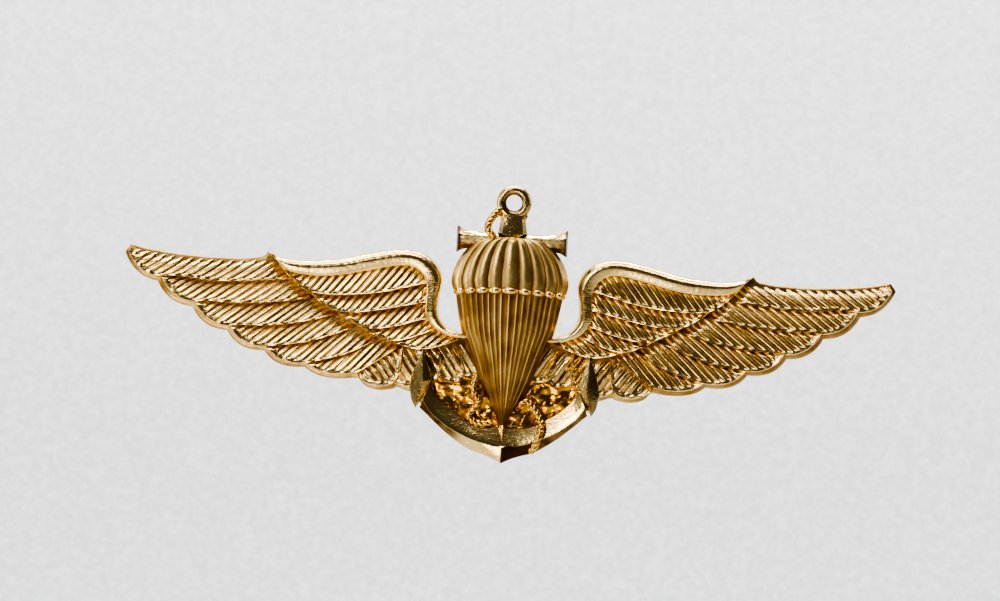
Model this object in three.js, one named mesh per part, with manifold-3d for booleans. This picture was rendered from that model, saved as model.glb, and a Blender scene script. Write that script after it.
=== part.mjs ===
// Winged badge with a fouled anchor and a parachute, on two posts with butterfly clutches.
// Millimetres. The face looks towards -Y, +X is the viewer's right and +Z is up.
// The origin is on the flat back of the wings, midway between the two posts.

import * as THREE from "three";
import { mergeVertices } from "three/addons/utils/BufferGeometryUtils.js";
import Module from "manifold-3d";

// Driving dimensions. A depth is a distance in front of the flat back, so it runs along -Y.
const HALF_SPAN = 35;
const PLATE_DEPTH = 1.1;
const COVERT_DEPTH = 1.45;
const RIM_DEPTH = 1.9;
const RIM_WIDTH = 1.35;
const ANCHOR_DEPTH = 2.3;
const PARACHUTE_DEPTH = 3.4;
const CROWN_RISE = 0.8;
const SHANK_HALF_WIDTH = 1.0;
const SHANK_DEPTH = 2.0;
const SHANK_FOOT = -10.6;
const SHANK_HEAD = 9;
const STOCK_HALF_LENGTH = 5.15;
const STOCK_LOWEST = 6.8;
const FIT_GAP = 0.3;
const SOLDER_OVERLAP = 0.2;
const RING_CENTRE_Z = 11.35;
const RING_RADIUS = 1.15;
const RING_WIRE = 0.42;
const ROPE_RADIUS = 0.32;
const ROPE_SIDES = 4;
const SOFT_EDGE = 0.1;
const RIM_BEVEL = 0.15;
const NECK_BEVEL = 0.2;
const BAR_BEVEL = 0.3;

const POST_X = 13;
const POST_RADIUS = 0.5;
const POST_LENGTH = 6.4;
const POST_FLANGE_RADIUS = 2.4;
const POST_FLANGE_THICKNESS = 0.4;
const POST_FILLET = 0.25;
const POST_POINT = 1.0;
const GROOVE_CUT = 0.14;
const GROOVE_START = 4.1;
const GROOVE_END = 4.9;
const GROOVE_SLOPE = 0.2;

const CLOTH_GAP = 1.8;
const CLUTCH_RADIUS = 5.5;
const CLUTCH_SHEET = 0.4;
const CLUTCH_RIM_HEIGHT = 0.9;
const CLUTCH_HOLE_RADIUS = 0.75;
const CLUTCH_EDGE = 0.3;
const CAP_RADIUS = 3.7;
const CAP_SHEET = 0.35;
const CAP_WALL_TOP = 3.7;
const CAP_HEIGHT = 6.3;
const SLOT_LOW = 0.95;
const SLOT_HIGH = 3.5;
const EAR_WIDTH = 3.4;
const EAR_SHEET = 0.35;
const EAR_CLEARANCE = 0.3;
const TONGUE_TIP = 1.7;
const EAR_ROOT = 4.3;
const EAR_TIP = 6.3;
const EAR_TOP = 5.2;
const LOWER_LEAF_HEIGHT = 1.3;
const UPPER_LEAF_HEIGHT = 2.3;
const LEAF_HOLE_CLEARANCE = 0.2;
const LEAF_HOLE_SHIFT = 0.35;

const ROUND_STEPS = 32;
const NAIL_STEPS = 16;
const RING_STEPS = 28;
const WIRE_STEPS = 8;
const CURVE_STEPS = 5;
const SPLINE_STEPS = 32;
const SHORT_STEPS = 8;
const FLARE_STEPS = 10;
const DIAGONAL_STEPS = 14;
const SHOULDER_STEPS = 22;
const RIM_STEPS = 34;

// Materials
const gold = (color, roughness) => new THREE.MeshStandardMaterial({ color, roughness, metalness: 1 });
const GOLD_PLATE = () => gold(0xc9962f, 0.25);
const GOLD_DEEP = () => gold(0xa9771f, 0.3);
const BRASS_NAIL = () => gold(0xb99a55, 0.35);
const BRASS_CLUTCH = () => gold(0xc7a75e, 0.3);

// Solids
const wasm = await Module();
wasm.setup();

function solid(geometry) {
  const bare = geometry.clone();
  bare.deleteAttribute("normal");
  bare.deleteAttribute("uv");
  const merged = mergeVertices(bare, 1e-4);
  const mesh = new wasm.Mesh({
    numProp: 3,
    vertProperties: new Float32Array(merged.attributes.position.array),
    triVerts: new Uint32Array(merged.index.array),
  });
  return new wasm.Manifold(mesh);
}

function geometryOf(manifold) {
  const mesh = manifold.getMesh();
  const geometry = new THREE.BufferGeometry();
  geometry.setAttribute("position", new THREE.BufferAttribute(mesh.vertProperties, 3));
  geometry.setIndex(new THREE.BufferAttribute(mesh.triVerts, 1));
  geometry.computeVertexNormals();
  return geometry;
}

function piece(name, geometry, material) {
  const mesh = new THREE.Mesh(geometry, material);
  mesh.name = name;
  return mesh;
}

const points = (pairs) => pairs.map(([x, z]) => new THREE.Vector2(x, z));
const mirrored = (pairs) => pairs.map(([x, z]) => [-x, z]).reverse();
const smooth = (pairs, steps = SPLINE_STEPS) =>
  new THREE.SplineCurve(points(pairs)).getPoints(steps).map((p) => [p.x, p.y]);

function box(low, high) {
  const size = high.map((value, i) => value - low[i]);
  const geometry = new THREE.BoxGeometry(...size);
  geometry.translate(...low.map((value, i) => value + size[i] / 2));
  return solid(geometry);
}

// An outline drawn in X and Z, seen from the front, struck from one depth to another.
// The front edge is bevelled and the back stays flat and full size.
function struck(outline, fromDepth, toDepth, bevel = 0) {
  const geometry = new THREE.ExtrudeGeometry(new THREE.Shape(points(outline)), {
    depth: toDepth - fromDepth - bevel,
    bevelEnabled: bevel > 0,
    bevelThickness: bevel,
    bevelSize: bevel,
    bevelOffset: -bevel,
    bevelSegments: 1,
  });
  geometry.rotateX(Math.PI / 2);
  geometry.translate(0, -fromDepth, 0);
  const made = solid(geometry);
  if (bevel === 0) return made;
  const reach = 2 * HALF_SPAN;
  return made.subtract(box([-reach, -fromDepth, -reach], [reach, reach, reach]));
}

// Wings: the right half's outline, from the web behind the canopy out to the tip and back.
const WEB_TOP = 1.5;
const WEB_HALF_WIDTH = 3.6;
const FLARE = [[3.6, -0.9], [5.5, -0.3], [6.3, 0.8], [6.35, 2.2], [6.1, 3.9]];
const SHOULDER = [
  [6.1, 3.9], [6.6, 5.2], [7.9, 6.2], [9.8, 6.5],
  [12.2, 6.15], [15.6, 5.35], [19.0, 5.05], [21.2, 5.3],
];
const HOOK = [22.0, 5.7];
const LEADING_EDGE = [[22.4, 5.25], [24.5, 4.95], [28.2, 4.95], [31.9, 5.25], [34.5, 5.7]];
const TIP = [HALF_SPAN, 5.0];
const FEATHER_NOTCHES = [
  [31.9, 2.5], [28.65, 0.35], [25.4, -1.65],
  [21.95, -3.3], [18.2, -4.6], [13.3, -5.3],
];
const FEATHER_DROOP = 1.0;
const DOWN_FEATHERS = [[12.6, -6.1], [11.2, -6.3], [9.8, -6.1]];
const WEB_LOWER_EDGE = [[8.2, -6.2], [6.4, -8.6], [3.6, -10.6], [0, -11.6]];

// The trailing edge hangs a rounded feather tip between each pair of notches.
function trailingEdge() {
  const path = new THREE.Path(points([TIP]));
  let from = TIP;
  for (const to of FEATHER_NOTCHES) {
    const control = [from[0] * 0.7 + to[0] * 0.3, (from[1] + to[1]) / 2 - FEATHER_DROOP];
    path.quadraticCurveTo(control[0], control[1], to[0], to[1]);
    from = to;
  }
  return path.getPoints(CURVE_STEPS).slice(1).map((p) => [p.x, p.y]);
}

const halfWing = [
  [WEB_HALF_WIDTH, WEB_TOP],
  ...smooth(FLARE, FLARE_STEPS),
  ...smooth(SHOULDER, SHOULDER_STEPS).slice(1),
  HOOK,
  ...smooth(LEADING_EDGE, SHORT_STEPS),
  TIP,
  ...trailingEdge(),
  ...DOWN_FEATHERS,
  ...smooth(WEB_LOWER_EDGE, SHORT_STEPS),
];
const wingOutline = [...halfWing, ...mirrored(halfWing.slice(0, -1))];

// The covert panel is the raised part of the wing inside the hook's diagonal.
const DIAGONAL = [
  [21.2, 5.2], [19.9, 3.3], [17.2, 1.2], [14.3, -0.45],
  [11.0, -1.75], [8.7, -2.6], [6.0, -2.3], [4.2, -1.2],
];
const covertPanel = [
  ...smooth(SHOULDER, SHOULDER_STEPS).slice(1, -1),
  ...smooth(DIAGONAL, DIAGONAL_STEPS),
  ...smooth(FLARE, FLARE_STEPS).slice(1, -1),
];

// The rim follows the top of the wing from the hook, round the shoulder and down to the flare.
// It starts at a third of its width and reaches the full width a third of the way along.
const RIM_START = 0.35;
const RIM_GROWTH = 0.3;

function rimBand() {
  const route = [...FLARE.slice(1, -1), ...SHOULDER].reverse();
  const centre = new THREE.SplineCurve(points(route));
  const outer = [];
  const inner = [];
  for (let i = 0; i <= RIM_STEPS; i += 1) {
    const t = i / RIM_STEPS;
    const at = centre.getPointAt(t);
    const along = centre.getTangentAt(t);
    const width = RIM_WIDTH * (RIM_START + (1 - RIM_START) * Math.min(1, t / RIM_GROWTH));
    outer.push([at.x, at.y]);
    inner.push([at.x + along.y * -width, at.y + along.x * width]);
  }
  return [...outer, ...inner.reverse()];
}

function bothSides(pairs, fromDepth, toDepth, bevel) {
  const right = struck(pairs, fromDepth, toDepth, bevel);
  const left = struck(mirrored(pairs), fromDepth, toDepth, bevel);
  return right.add(left);
}

function wings() {
  const plate = struck(wingOutline, 0, PLATE_DEPTH);
  const coverts = bothSides(covertPanel, PLATE_DEPTH - SOLDER_OVERLAP, COVERT_DEPTH, SOFT_EDGE);
  const rims = bothSides(rimBand(), PLATE_DEPTH - SOLDER_OVERLAP, RIM_DEPTH, RIM_BEVEL);
  return geometryOf(plate.add(coverts).add(rims));
}

// Anchor: ring, neck, stock and shank above; arms, crown and palms below.
const NECK = [[-1.9, 8.4], [-1.35, 10.4], [1.35, 10.4], [1.9, 8.4]];
const STOCK = [[0, 7.55], [2.2, 7.2], [4.9, STOCK_LOWEST], [STOCK_HALF_LENGTH, 8.8], [2.2, 8.35], [0, 8.45]];
const ARM_OUTER = [[8.1, -7.75], [6.9, -8.5], [5.2, -10.1], [3.2, -11.2], [1.5, -11.75]];
const CROWN_TIP = [0, -12.4];
const ARM_INNER = [[0, -10.2], [1.7, -10.15], [3.3, -9.5], [5.0, -8.2], [6.6, -6.3]];
const PALM = [[8.6, -7.3], [8.75, -5.2], [8.0, -2.9], [7.0, -5.0], [6.3, -5.6]];

const stockOutline = [...STOCK, ...mirrored(STOCK).slice(1, -1)];
const halfArms = [
  CROWN_TIP,
  ...smooth(ARM_OUTER, SHORT_STEPS).reverse(),
  ...PALM,
  ...smooth(ARM_INNER, SHORT_STEPS).reverse(),
];
const armsOutline = [...halfArms, ...mirrored(halfArms.slice(1, -1))];

function anchor() {
  const shank = [
    [-SHANK_HALF_WIDTH, SHANK_FOOT],
    [SHANK_HALF_WIDTH, SHANK_FOOT],
    [SHANK_HALF_WIDTH, SHANK_HEAD],
    [-SHANK_HALF_WIDTH, SHANK_HEAD],
  ];
  const ring = new THREE.TorusGeometry(RING_RADIUS, RING_WIRE, WIRE_STEPS, RING_STEPS);
  ring.rotateX(Math.PI / 2);
  ring.translate(0, -PLATE_DEPTH - RING_WIRE, RING_CENTRE_Z);
  const parts = [
    struck(armsOutline, PLATE_DEPTH, ANCHOR_DEPTH, BAR_BEVEL),
    struck(shank, PLATE_DEPTH, SHANK_DEPTH),
    struck(NECK, PLATE_DEPTH, SHANK_DEPTH, NECK_BEVEL),
    struck(stockOutline, PLATE_DEPTH, ANCHOR_DEPTH, BAR_BEVEL),
    solid(ring),
  ];
  return geometryOf(parts.reduce((all, part) => all.add(part)));
}

// Parachute: canopy above its hem, cone of lines below, crowned in the middle.
const CANOPY = [[0, 8.15], [1.6, 7.95], [3.4, 7.15], [4.8, 5.7], [5.5, 3.85], [5.35, 2.75]];
const CONE = [[5.05, 2.5], [4.1, -1.2], [2.3, -5.6], [0.55, -9.0], [0.35, -9.6]];
const CANOPY_CENTRE = [0, 2.4];
const CROWN_LEVELS = [
  [PLATE_DEPTH, 1],
  [2.6, 0.98],
  [PARACHUTE_DEPTH, 0.86],
  [PARACHUTE_DEPTH + CROWN_RISE, 0.5],
];

// A crowned solid: the outline shrinks towards its centre as the depth grows.
function crowned(outline, centre, levels) {
  const count = outline.length;
  const vertices = [];
  for (const [depth, scale] of levels) {
    for (const [x, z] of outline) {
      vertices.push(centre[0] + (x - centre[0]) * scale, -depth, centre[1] + (z - centre[1]) * scale);
    }
  }
  const back = levels.length * count;
  const front = back + 1;
  vertices.push(centre[0], -levels[0][0], centre[1]);
  vertices.push(centre[0], -levels[levels.length - 1][0], centre[1]);
  const faces = [];
  for (let i = 0; i < count; i += 1) {
    const next = (i + 1) % count;
    faces.push(back, i, next);
    faces.push(front, (levels.length - 1) * count + next, (levels.length - 1) * count + i);
    for (let level = 0; level < levels.length - 1; level += 1) {
      const low = level * count;
      const high = low + count;
      faces.push(low + i, high + i, high + next, low + i, high + next, low + next);
    }
  }
  const geometry = new THREE.BufferGeometry();
  geometry.setAttribute("position", new THREE.Float32BufferAttribute(vertices, 3));
  geometry.setIndex(faces);
  return solid(geometry);
}

function parachute() {
  const half = [...smooth(CANOPY, FLARE_STEPS), ...CONE];
  const outline = [...half, ...mirrored(half.slice(1))];
  const shankRoom = SHANK_HALF_WIDTH + FIT_GAP;
  const stockReach = STOCK_HALF_LENGTH + FIT_GAP;
  const channel = box([-shankRoom, -SHANK_DEPTH - FIT_GAP, SHANK_FOOT], [shankRoom, 0, SHANK_HEAD]);
  const stockFloor = STOCK_LOWEST - FIT_GAP;
  const stockRoom = box([-stockReach, -ANCHOR_DEPTH - FIT_GAP, stockFloor], [stockReach, 0, SHANK_HEAD]);
  const whole = crowned(outline, CANOPY_CENTRE, CROWN_LEVELS);
  return geometryOf(whole.subtract(channel).subtract(stockRoom));
}

// Rope relief: three stretches of twisted wire, soldered over the stock and in the lower field.
const UPPER_ROPE = [
  [-1.95, 1.6, 10.3], [-2.2, 1.75, 9.8], [-2.5, 2.6, 9.35], [-2.7, 3.0, 8.85], [-2.75, 3.0, 8.35],
];
const LEFT_ROPE = [
  [-3.15, 1.45, -5.0], [-2.95, 1.45, -6.2], [-2.6, 1.45, -7.3], [-2.0, 1.45, -8.2], [-1.45, 1.45, -8.7],
];
const RIGHT_ROPE = [
  [1.75, 1.45, -7.6], [1.95, 1.45, -6.9], [2.4, 1.45, -6.4], [3.1, 1.45, -7.1], [3.7, 1.6, -8.0],
  [3.85, 2.7, -8.8], [3.6, 2.75, -9.8], [3.2, 2.75, -10.5], [2.7, 2.75, -11.0],
];

function rope(route) {
  const stations = route.map(([x, depth, z]) => new THREE.Vector3(x, -depth, z));
  const path = new THREE.CatmullRomCurve3(stations);
  const section = new THREE.Shape();
  section.absarc(0, 0, ROPE_RADIUS, 0, Math.PI * 2);
  const steps = route.length * 3;
  return new THREE.ExtrudeGeometry(section, { steps, extrudePath: path, curveSegments: ROPE_SIDES });
}

// Posts: a soldering flange, a shaft with a grip groove, and a point. Turned about Y.
function turned(profile, steps = ROUND_STEPS) {
  const geometry = new THREE.LatheGeometry(points(profile), steps);
  if (solid(geometry).volume() > 0) return geometry;
  return new THREE.LatheGeometry(points(profile).reverse(), steps);
}

function post() {
  const waist = POST_RADIUS - GROOVE_CUT;
  return turned([
    [0, 0],
    [POST_FLANGE_RADIUS, 0],
    [POST_FLANGE_RADIUS - POST_FILLET, POST_FLANGE_THICKNESS],
    [POST_RADIUS + POST_FILLET, POST_FLANGE_THICKNESS],
    [POST_RADIUS, POST_FLANGE_THICKNESS + POST_FILLET],
    [POST_RADIUS, GROOVE_START],
    [waist, GROOVE_START + GROOVE_SLOPE],
    [waist, GROOVE_END - GROOVE_SLOPE],
    [POST_RADIUS, GROOVE_END],
    [POST_RADIUS, POST_LENGTH - POST_POINT],
    [0.1, POST_LENGTH],
    [0, POST_LENGTH],
  ], NAIL_STEPS);
}

// Clutch: everything below is measured from the base's cloth side, along +Y.
function clutchBase() {
  const inside = CLUTCH_RADIUS - CLUTCH_SHEET;
  return turned([
    [CLUTCH_HOLE_RADIUS, 0],
    [CLUTCH_RADIUS - CLUTCH_EDGE, 0],
    [CLUTCH_RADIUS, CLUTCH_EDGE],
    [CLUTCH_RADIUS, CLUTCH_RIM_HEIGHT],
    [inside, CLUTCH_RIM_HEIGHT],
    [inside - SOFT_EDGE, CLUTCH_SHEET],
    [CLUTCH_HOLE_RADIUS, CLUTCH_SHEET],
    [CLUTCH_HOLE_RADIUS, 0],
  ]);
}

function domeProfile(radius, wallTop, height) {
  const arc = [];
  for (let i = 0; i <= CURVE_STEPS; i += 1) {
    const angle = (i / CURVE_STEPS) * (Math.PI / 2);
    arc.push([radius * Math.cos(angle), wallTop + (height - wallTop) * Math.sin(angle)]);
  }
  arc[CURVE_STEPS][0] = 0;
  return arc;
}

function clutchCap() {
  const inner = CAP_RADIUS - CAP_SHEET;
  const shell = turned([
    ...domeProfile(CAP_RADIUS, CAP_WALL_TOP, CAP_HEIGHT).reverse(),
    [CAP_RADIUS, CLUTCH_SHEET],
    [inner, CLUTCH_SHEET],
    ...domeProfile(inner, CAP_WALL_TOP, CAP_HEIGHT - CAP_SHEET),
  ]);
  const halfSlot = EAR_WIDTH / 2 + EAR_CLEARANCE;
  const slots = box([-CLUTCH_RADIUS, SLOT_LOW, -halfSlot], [CLUTCH_RADIUS, SLOT_HIGH, halfSlot]);
  return geometryOf(solid(shell).subtract(slots));
}

// A spring leaf: a tongue that grips the post, and an ear that stands out through the cap's slot.
function springLeaf(height, side) {
  const ear = [
    [-TONGUE_TIP, height],
    [EAR_ROOT, height],
    [EAR_TIP, EAR_TOP],
    [EAR_TIP - EAR_SHEET, EAR_TOP + EAR_SHEET / 2],
    [EAR_ROOT - EAR_SHEET / 2, height + EAR_SHEET],
    [-TONGUE_TIP, height + EAR_SHEET],
  ];
  const profile = new THREE.Shape(points(ear));
  const strip = new THREE.ExtrudeGeometry(profile, { depth: EAR_WIDTH, bevelEnabled: false });
  strip.translate(0, 0, -EAR_WIDTH / 2);
  const hole = new THREE.Shape();
  const holeRadius = POST_RADIUS + LEAF_HOLE_CLEARANCE;
  hole.absarc(LEAF_HOLE_SHIFT, 0, holeRadius, -Math.PI / 2, Math.PI / 2);
  hole.absarc(-LEAF_HOLE_SHIFT, 0, holeRadius, Math.PI / 2, (Math.PI * 3) / 2);
  const punch = new THREE.ExtrudeGeometry(hole, {
    depth: 3 * EAR_SHEET,
    bevelEnabled: false,
    curveSegments: SHORT_STEPS,
  });
  punch.rotateX(Math.PI / 2);
  punch.translate(0, height + 2 * EAR_SHEET, 0);
  const leaf = geometryOf(solid(strip).subtract(solid(punch)));
  if (side < 0) leaf.rotateY(Math.PI);
  return leaf;
}

function clutch(name) {
  const group = new THREE.Group();
  group.add(piece(`${name}_clutch_base`, clutchBase(), BRASS_CLUTCH()));
  group.add(piece(`${name}_clutch_cap`, clutchCap(), BRASS_CLUTCH()));
  group.add(piece(`${name}_clutch_right_leaf`, springLeaf(LOWER_LEAF_HEIGHT, 1), BRASS_CLUTCH()));
  group.add(piece(`${name}_clutch_left_leaf`, springLeaf(UPPER_LEAF_HEIGHT, -1), BRASS_CLUTCH()));
  return group;
}

// Assembly
const badge = new THREE.Group();
badge.add(piece("wings", wings(), GOLD_PLATE()));
badge.add(piece("anchor", anchor(), GOLD_PLATE()));
badge.add(piece("upper_rope", rope(UPPER_ROPE), GOLD_DEEP()));
badge.add(piece("left_rope", rope(LEFT_ROPE), GOLD_DEEP()));
badge.add(piece("right_rope", rope(RIGHT_ROPE), GOLD_DEEP()));
badge.add(piece("parachute", parachute(), GOLD_DEEP()));

for (const [name, x] of [["left", -POST_X], ["right", POST_X]]) {
  const nail = piece(`${name}_post`, post(), BRASS_NAIL());
  nail.position.set(x, 0, 0);
  const fastener = clutch(name);
  fastener.position.set(x, CLOTH_GAP, 0);
  badge.add(nail, fastener);
}

export default badge;
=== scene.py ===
# %% [markdown]
# # A gold wings badge with an anchor and a parachute
#
# The real badge is die-struck brass, plated with gold. Two wings share one plate, an anchor and its rope lie
# over the middle, and a parachute is soldered on top. Two nails behind the wings hold it to the cloth with
# pinch clutches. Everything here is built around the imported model, which fixes the sizes and the moving
# parts.

# %% Load the frame
import math

import bmesh
import bpy
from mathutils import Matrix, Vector, noise


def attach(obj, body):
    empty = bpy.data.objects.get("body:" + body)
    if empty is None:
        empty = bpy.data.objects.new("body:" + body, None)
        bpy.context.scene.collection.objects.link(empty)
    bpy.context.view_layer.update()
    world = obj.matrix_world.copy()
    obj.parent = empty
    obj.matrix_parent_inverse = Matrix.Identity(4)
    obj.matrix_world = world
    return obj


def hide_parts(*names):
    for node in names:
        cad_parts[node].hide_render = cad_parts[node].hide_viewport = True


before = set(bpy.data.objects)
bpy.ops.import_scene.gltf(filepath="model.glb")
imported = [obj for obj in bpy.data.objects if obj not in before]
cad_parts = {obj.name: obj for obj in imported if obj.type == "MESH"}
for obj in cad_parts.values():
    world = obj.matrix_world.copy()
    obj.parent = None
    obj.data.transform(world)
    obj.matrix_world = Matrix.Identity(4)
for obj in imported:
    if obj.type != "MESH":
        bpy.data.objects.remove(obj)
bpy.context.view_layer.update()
MM = 0.001
print("nodes:", len(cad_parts))

# %% [markdown]
# ## The camera
#
# The badge was looked at square on, from about a hand's length and a half, and turned slightly clockwise.
# A long lens at that distance keeps both wing tips the same size, and the badge fills a little over three
# quarters of the picture's width. The picture's right and up directions are worked out first, because the
# camera is both turned and moved along them.

# %% Camera
SPAN = 0.070
BADGE_SHARE = 0.77
VIEW_WIDTH = SPAN / BADGE_SHARE
DISTANCE = 0.30
TURN = math.radians(3.0)
SENSOR = 36.0
PICTURE_RIGHT = Vector((math.cos(TURN), 0, math.sin(TURN)))
PICTURE_UP = Vector((-math.sin(TURN), 0, math.cos(TURN)))
SHIFT_RIGHT = -0.0007
SHIFT_UP = 0.00237

lens = bpy.data.cameras.new("view_lens")
lens.sensor_width = SENSOR
lens.lens = SENSOR * DISTANCE / VIEW_WIDTH
lens.clip_start = 0.01
camera = bpy.data.objects.new("view_camera", lens)
bpy.context.scene.collection.objects.link(camera)
camera.location = PICTURE_RIGHT * SHIFT_RIGHT + PICTURE_UP * SHIFT_UP + Vector((0, -DISTANCE, 0))
camera.rotation_euler = (math.pi / 2, -TURN, 0)
bpy.context.scene.camera = camera
print(f"lens {lens.lens:.0f} mm at {DISTANCE * 1000:.0f} mm")

# %% [markdown]
# ## Helpers for struck metal
#
# Relief is easiest to think of as seen from the front: a place across the badge, a height on it, and how far
# it stands forward of the flat back. `at` turns those three millimetre values into a point in the model.
# Most pieces are lofts: closed rings of points, one after another, skinned with four-sided faces and capped
# at both ends, so that each piece is a closed body that could be cast or printed.

# %% Points and curves
def at(x, depth, z):
    """A point x across, z up and depth in front of the flat back, all in millimetres."""
    return Vector((x, -depth, z)) * MM


def spline(points, count):
    """count points along a smooth curve through the given ones."""
    knots = [Vector(p) for p in points]
    last = len(knots) - 1
    made = []
    for i in range(count):
        t = i / (count - 1) * last
        k = min(int(t), last - 1)
        f = t - k
        a, b, c, d = (knots[min(max(k + j, 0), last)] for j in (-1, 0, 1, 2))
        curve = 2 * b + (c - a) * f + (2 * a - 5 * b + 4 * c - d) * f * f + (3 * b - a - 3 * c + d) * f ** 3
        made.append(0.5 * curve)
    return made


def evenly(points, count):
    """The same line with count points at equal distances along it."""
    total = [0.0]
    for p, q in zip(points, points[1:]):
        total.append(total[-1] + (q - p).length)
    made = []
    k = 0
    for i in range(count):
        want = total[-1] * i / (count - 1)
        while k < len(points) - 2 and total[k + 1] < want:
            k += 1
        step = total[k + 1] - total[k]
        f = (want - total[k]) / step if step > 0 else 0.0
        made.append(points[k].lerp(points[k + 1], min(max(f, 0.0), 1.0)))
    return made


def smooth(low, high, value):
    """0 below low, 1 above high, and an even S-curve between."""
    t = min(max((value - low) / (high - low), 0.0), 1.0)
    return t * t * (3 - 2 * t)


def mix(a, b, t):
    """a at t=0 and b at t=1."""
    return a + (b - a) * t


def flipped(points):
    """The same flat outline on the other side of the badge."""
    return [Vector((-p[0], p[1])) for p in points]


# %% Lofts and finished pieces
def loft(rings, caps=True):
    """Points and faces of a skin over closed rings that all have the same number of points."""
    size = len(rings[0])
    points = [p for ring in rings for p in ring]
    faces = []
    for r in range(len(rings) - 1):
        for i in range(size):
            j = (i + 1) % size
            faces.append((r * size + i, r * size + j, (r + 1) * size + j, (r + 1) * size + i))
    if caps:
        faces.append(tuple(range(size)))
        faces.append(tuple(range((len(rings) - 1) * size, len(rings) * size)))
    return points, faces


def make_piece(name, bodies, crease=40, patina_and_shade_values=None, weld=0.002):
    """One object from several closed bodies, each welded and turned outwards on its own."""
    joined = bmesh.new()
    used = 0
    for points, faces in bodies:
        mesh = bpy.data.meshes.new(name)
        mesh.from_pydata([tuple(p) for p in points], [], faces)
        values = patina_and_shade_values[used:used + len(points)] if patina_and_shade_values is not None else [0.0] * len(points)
        used += len(points)
        mesh.attributes.new("patina_and_shade", "FLOAT", "POINT").data.foreach_set("value", values)
        shape = bmesh.new()
        shape.from_mesh(mesh)
        bmesh.ops.remove_doubles(shape, verts=shape.verts, dist=weld * MM)
        bmesh.ops.dissolve_degenerate(shape, edges=shape.edges, dist=weld * MM * 0.5)
        bmesh.ops.recalc_face_normals(shape, faces=shape.faces)
        if shape.calc_volume(signed=True) < 0:
            bmesh.ops.reverse_faces(shape, faces=shape.faces)
        shape.to_mesh(mesh)
        shape.free()
        joined.from_mesh(mesh)
        bpy.data.meshes.remove(mesh)
    mesh = bpy.data.meshes.new(name)
    joined.to_mesh(mesh)
    joined.free()
    mesh.shade_smooth()
    mesh.set_sharp_from_angle(angle=math.radians(crease))
    piece = bpy.data.objects.new(name, mesh)
    bpy.context.scene.collection.objects.link(piece)
    print(f"{name}: {len(mesh.polygons)} faces")
    return piece


def settle(piece, body, slot, finish, *nodes):
    """The piece rides on its body, wears its finish, and stands for the plain nodes of the frame."""
    piece.data.materials.append(finish)
    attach(piece, body)
    if nodes:
        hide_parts(*nodes)
    return piece


# %% [markdown]
# ## Gold that has been struck, polished and worn
#
# Polished metal has no colour of its own apart from its mirror tint, so the interest comes from small things:
# a slightly uneven plating colour, fine polishing marks, a soft orange-peel surface, and darker, duller gold
# in the recesses. The darkening there is partly patina, where the polishing wheel never reaches, and partly
# painted shade: on many parts it is set where the light falls dim, in hollows, on undersides and on the side
# away from the light. This patina-and-shade value is stored on each mesh when its relief is made. A few short
# helpers add the nodes, and one function makes every gold and brass from them.

# %% Helpers for nodes
def stretched(tree, place, scale, turn=(0, 0, 0)):
    """The place scaled, and turned if asked."""
    node = tree.nodes.new("ShaderNodeMapping")
    node.inputs["Scale"].default_value = scale
    node.inputs["Rotation"].default_value = turn
    tree.links.new(place, node.inputs["Vector"])
    return node.outputs["Vector"]


def cloud(tree, place, scale, detail):
    """Soft noise over the place."""
    node = tree.nodes.new("ShaderNodeTexNoise")
    node.inputs["Scale"].default_value = scale
    node.inputs["Detail"].default_value = detail
    tree.links.new(place, node.inputs["Vector"])
    return node.outputs["Fac"]


def spread(tree, value, start, end, low, high):
    """The stretch of value from start to end, spread over low to high."""
    node = tree.nodes.new("ShaderNodeMapRange")
    node.inputs["From Min"].default_value = start
    node.inputs["From Max"].default_value = end
    node.inputs["To Min"].default_value = low
    node.inputs["To Max"].default_value = high
    tree.links.new(value, node.inputs["Value"])
    return node.outputs["Result"]


def times_plus(tree, value, factor, extra):
    """The value times a factor, plus another node's value."""
    node = tree.nodes.new("ShaderNodeMath")
    node.operation = "MULTIPLY_ADD"
    node.inputs[1].default_value = factor
    tree.links.new(value, node.inputs[0])
    tree.links.new(extra, node.inputs[2])
    return node.outputs["Value"]


def bumped(tree, height, distance, over=None):
    """A surface bumped by this many millimetres, over an already bumped one if given."""
    node = tree.nodes.new("ShaderNodeBump")
    node.inputs["Strength"].default_value = 1.0
    node.inputs["Distance"].default_value = distance * MM
    tree.links.new(height, node.inputs["Height"])
    if over is not None:
        tree.links.new(over, node.inputs["Normal"])
    return node.outputs["Normal"]


# %% A maker of metal finishes
MM_PER_METRE = 1000
CLOUD_SCALE, GRAIN_SCALE = 0.55, 2.6
UNEVEN = 0.35
BRUSH_STRETCH, BRUSH_TURN = (1.2, 1.2, 14), (0, 0.5, 0)


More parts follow.
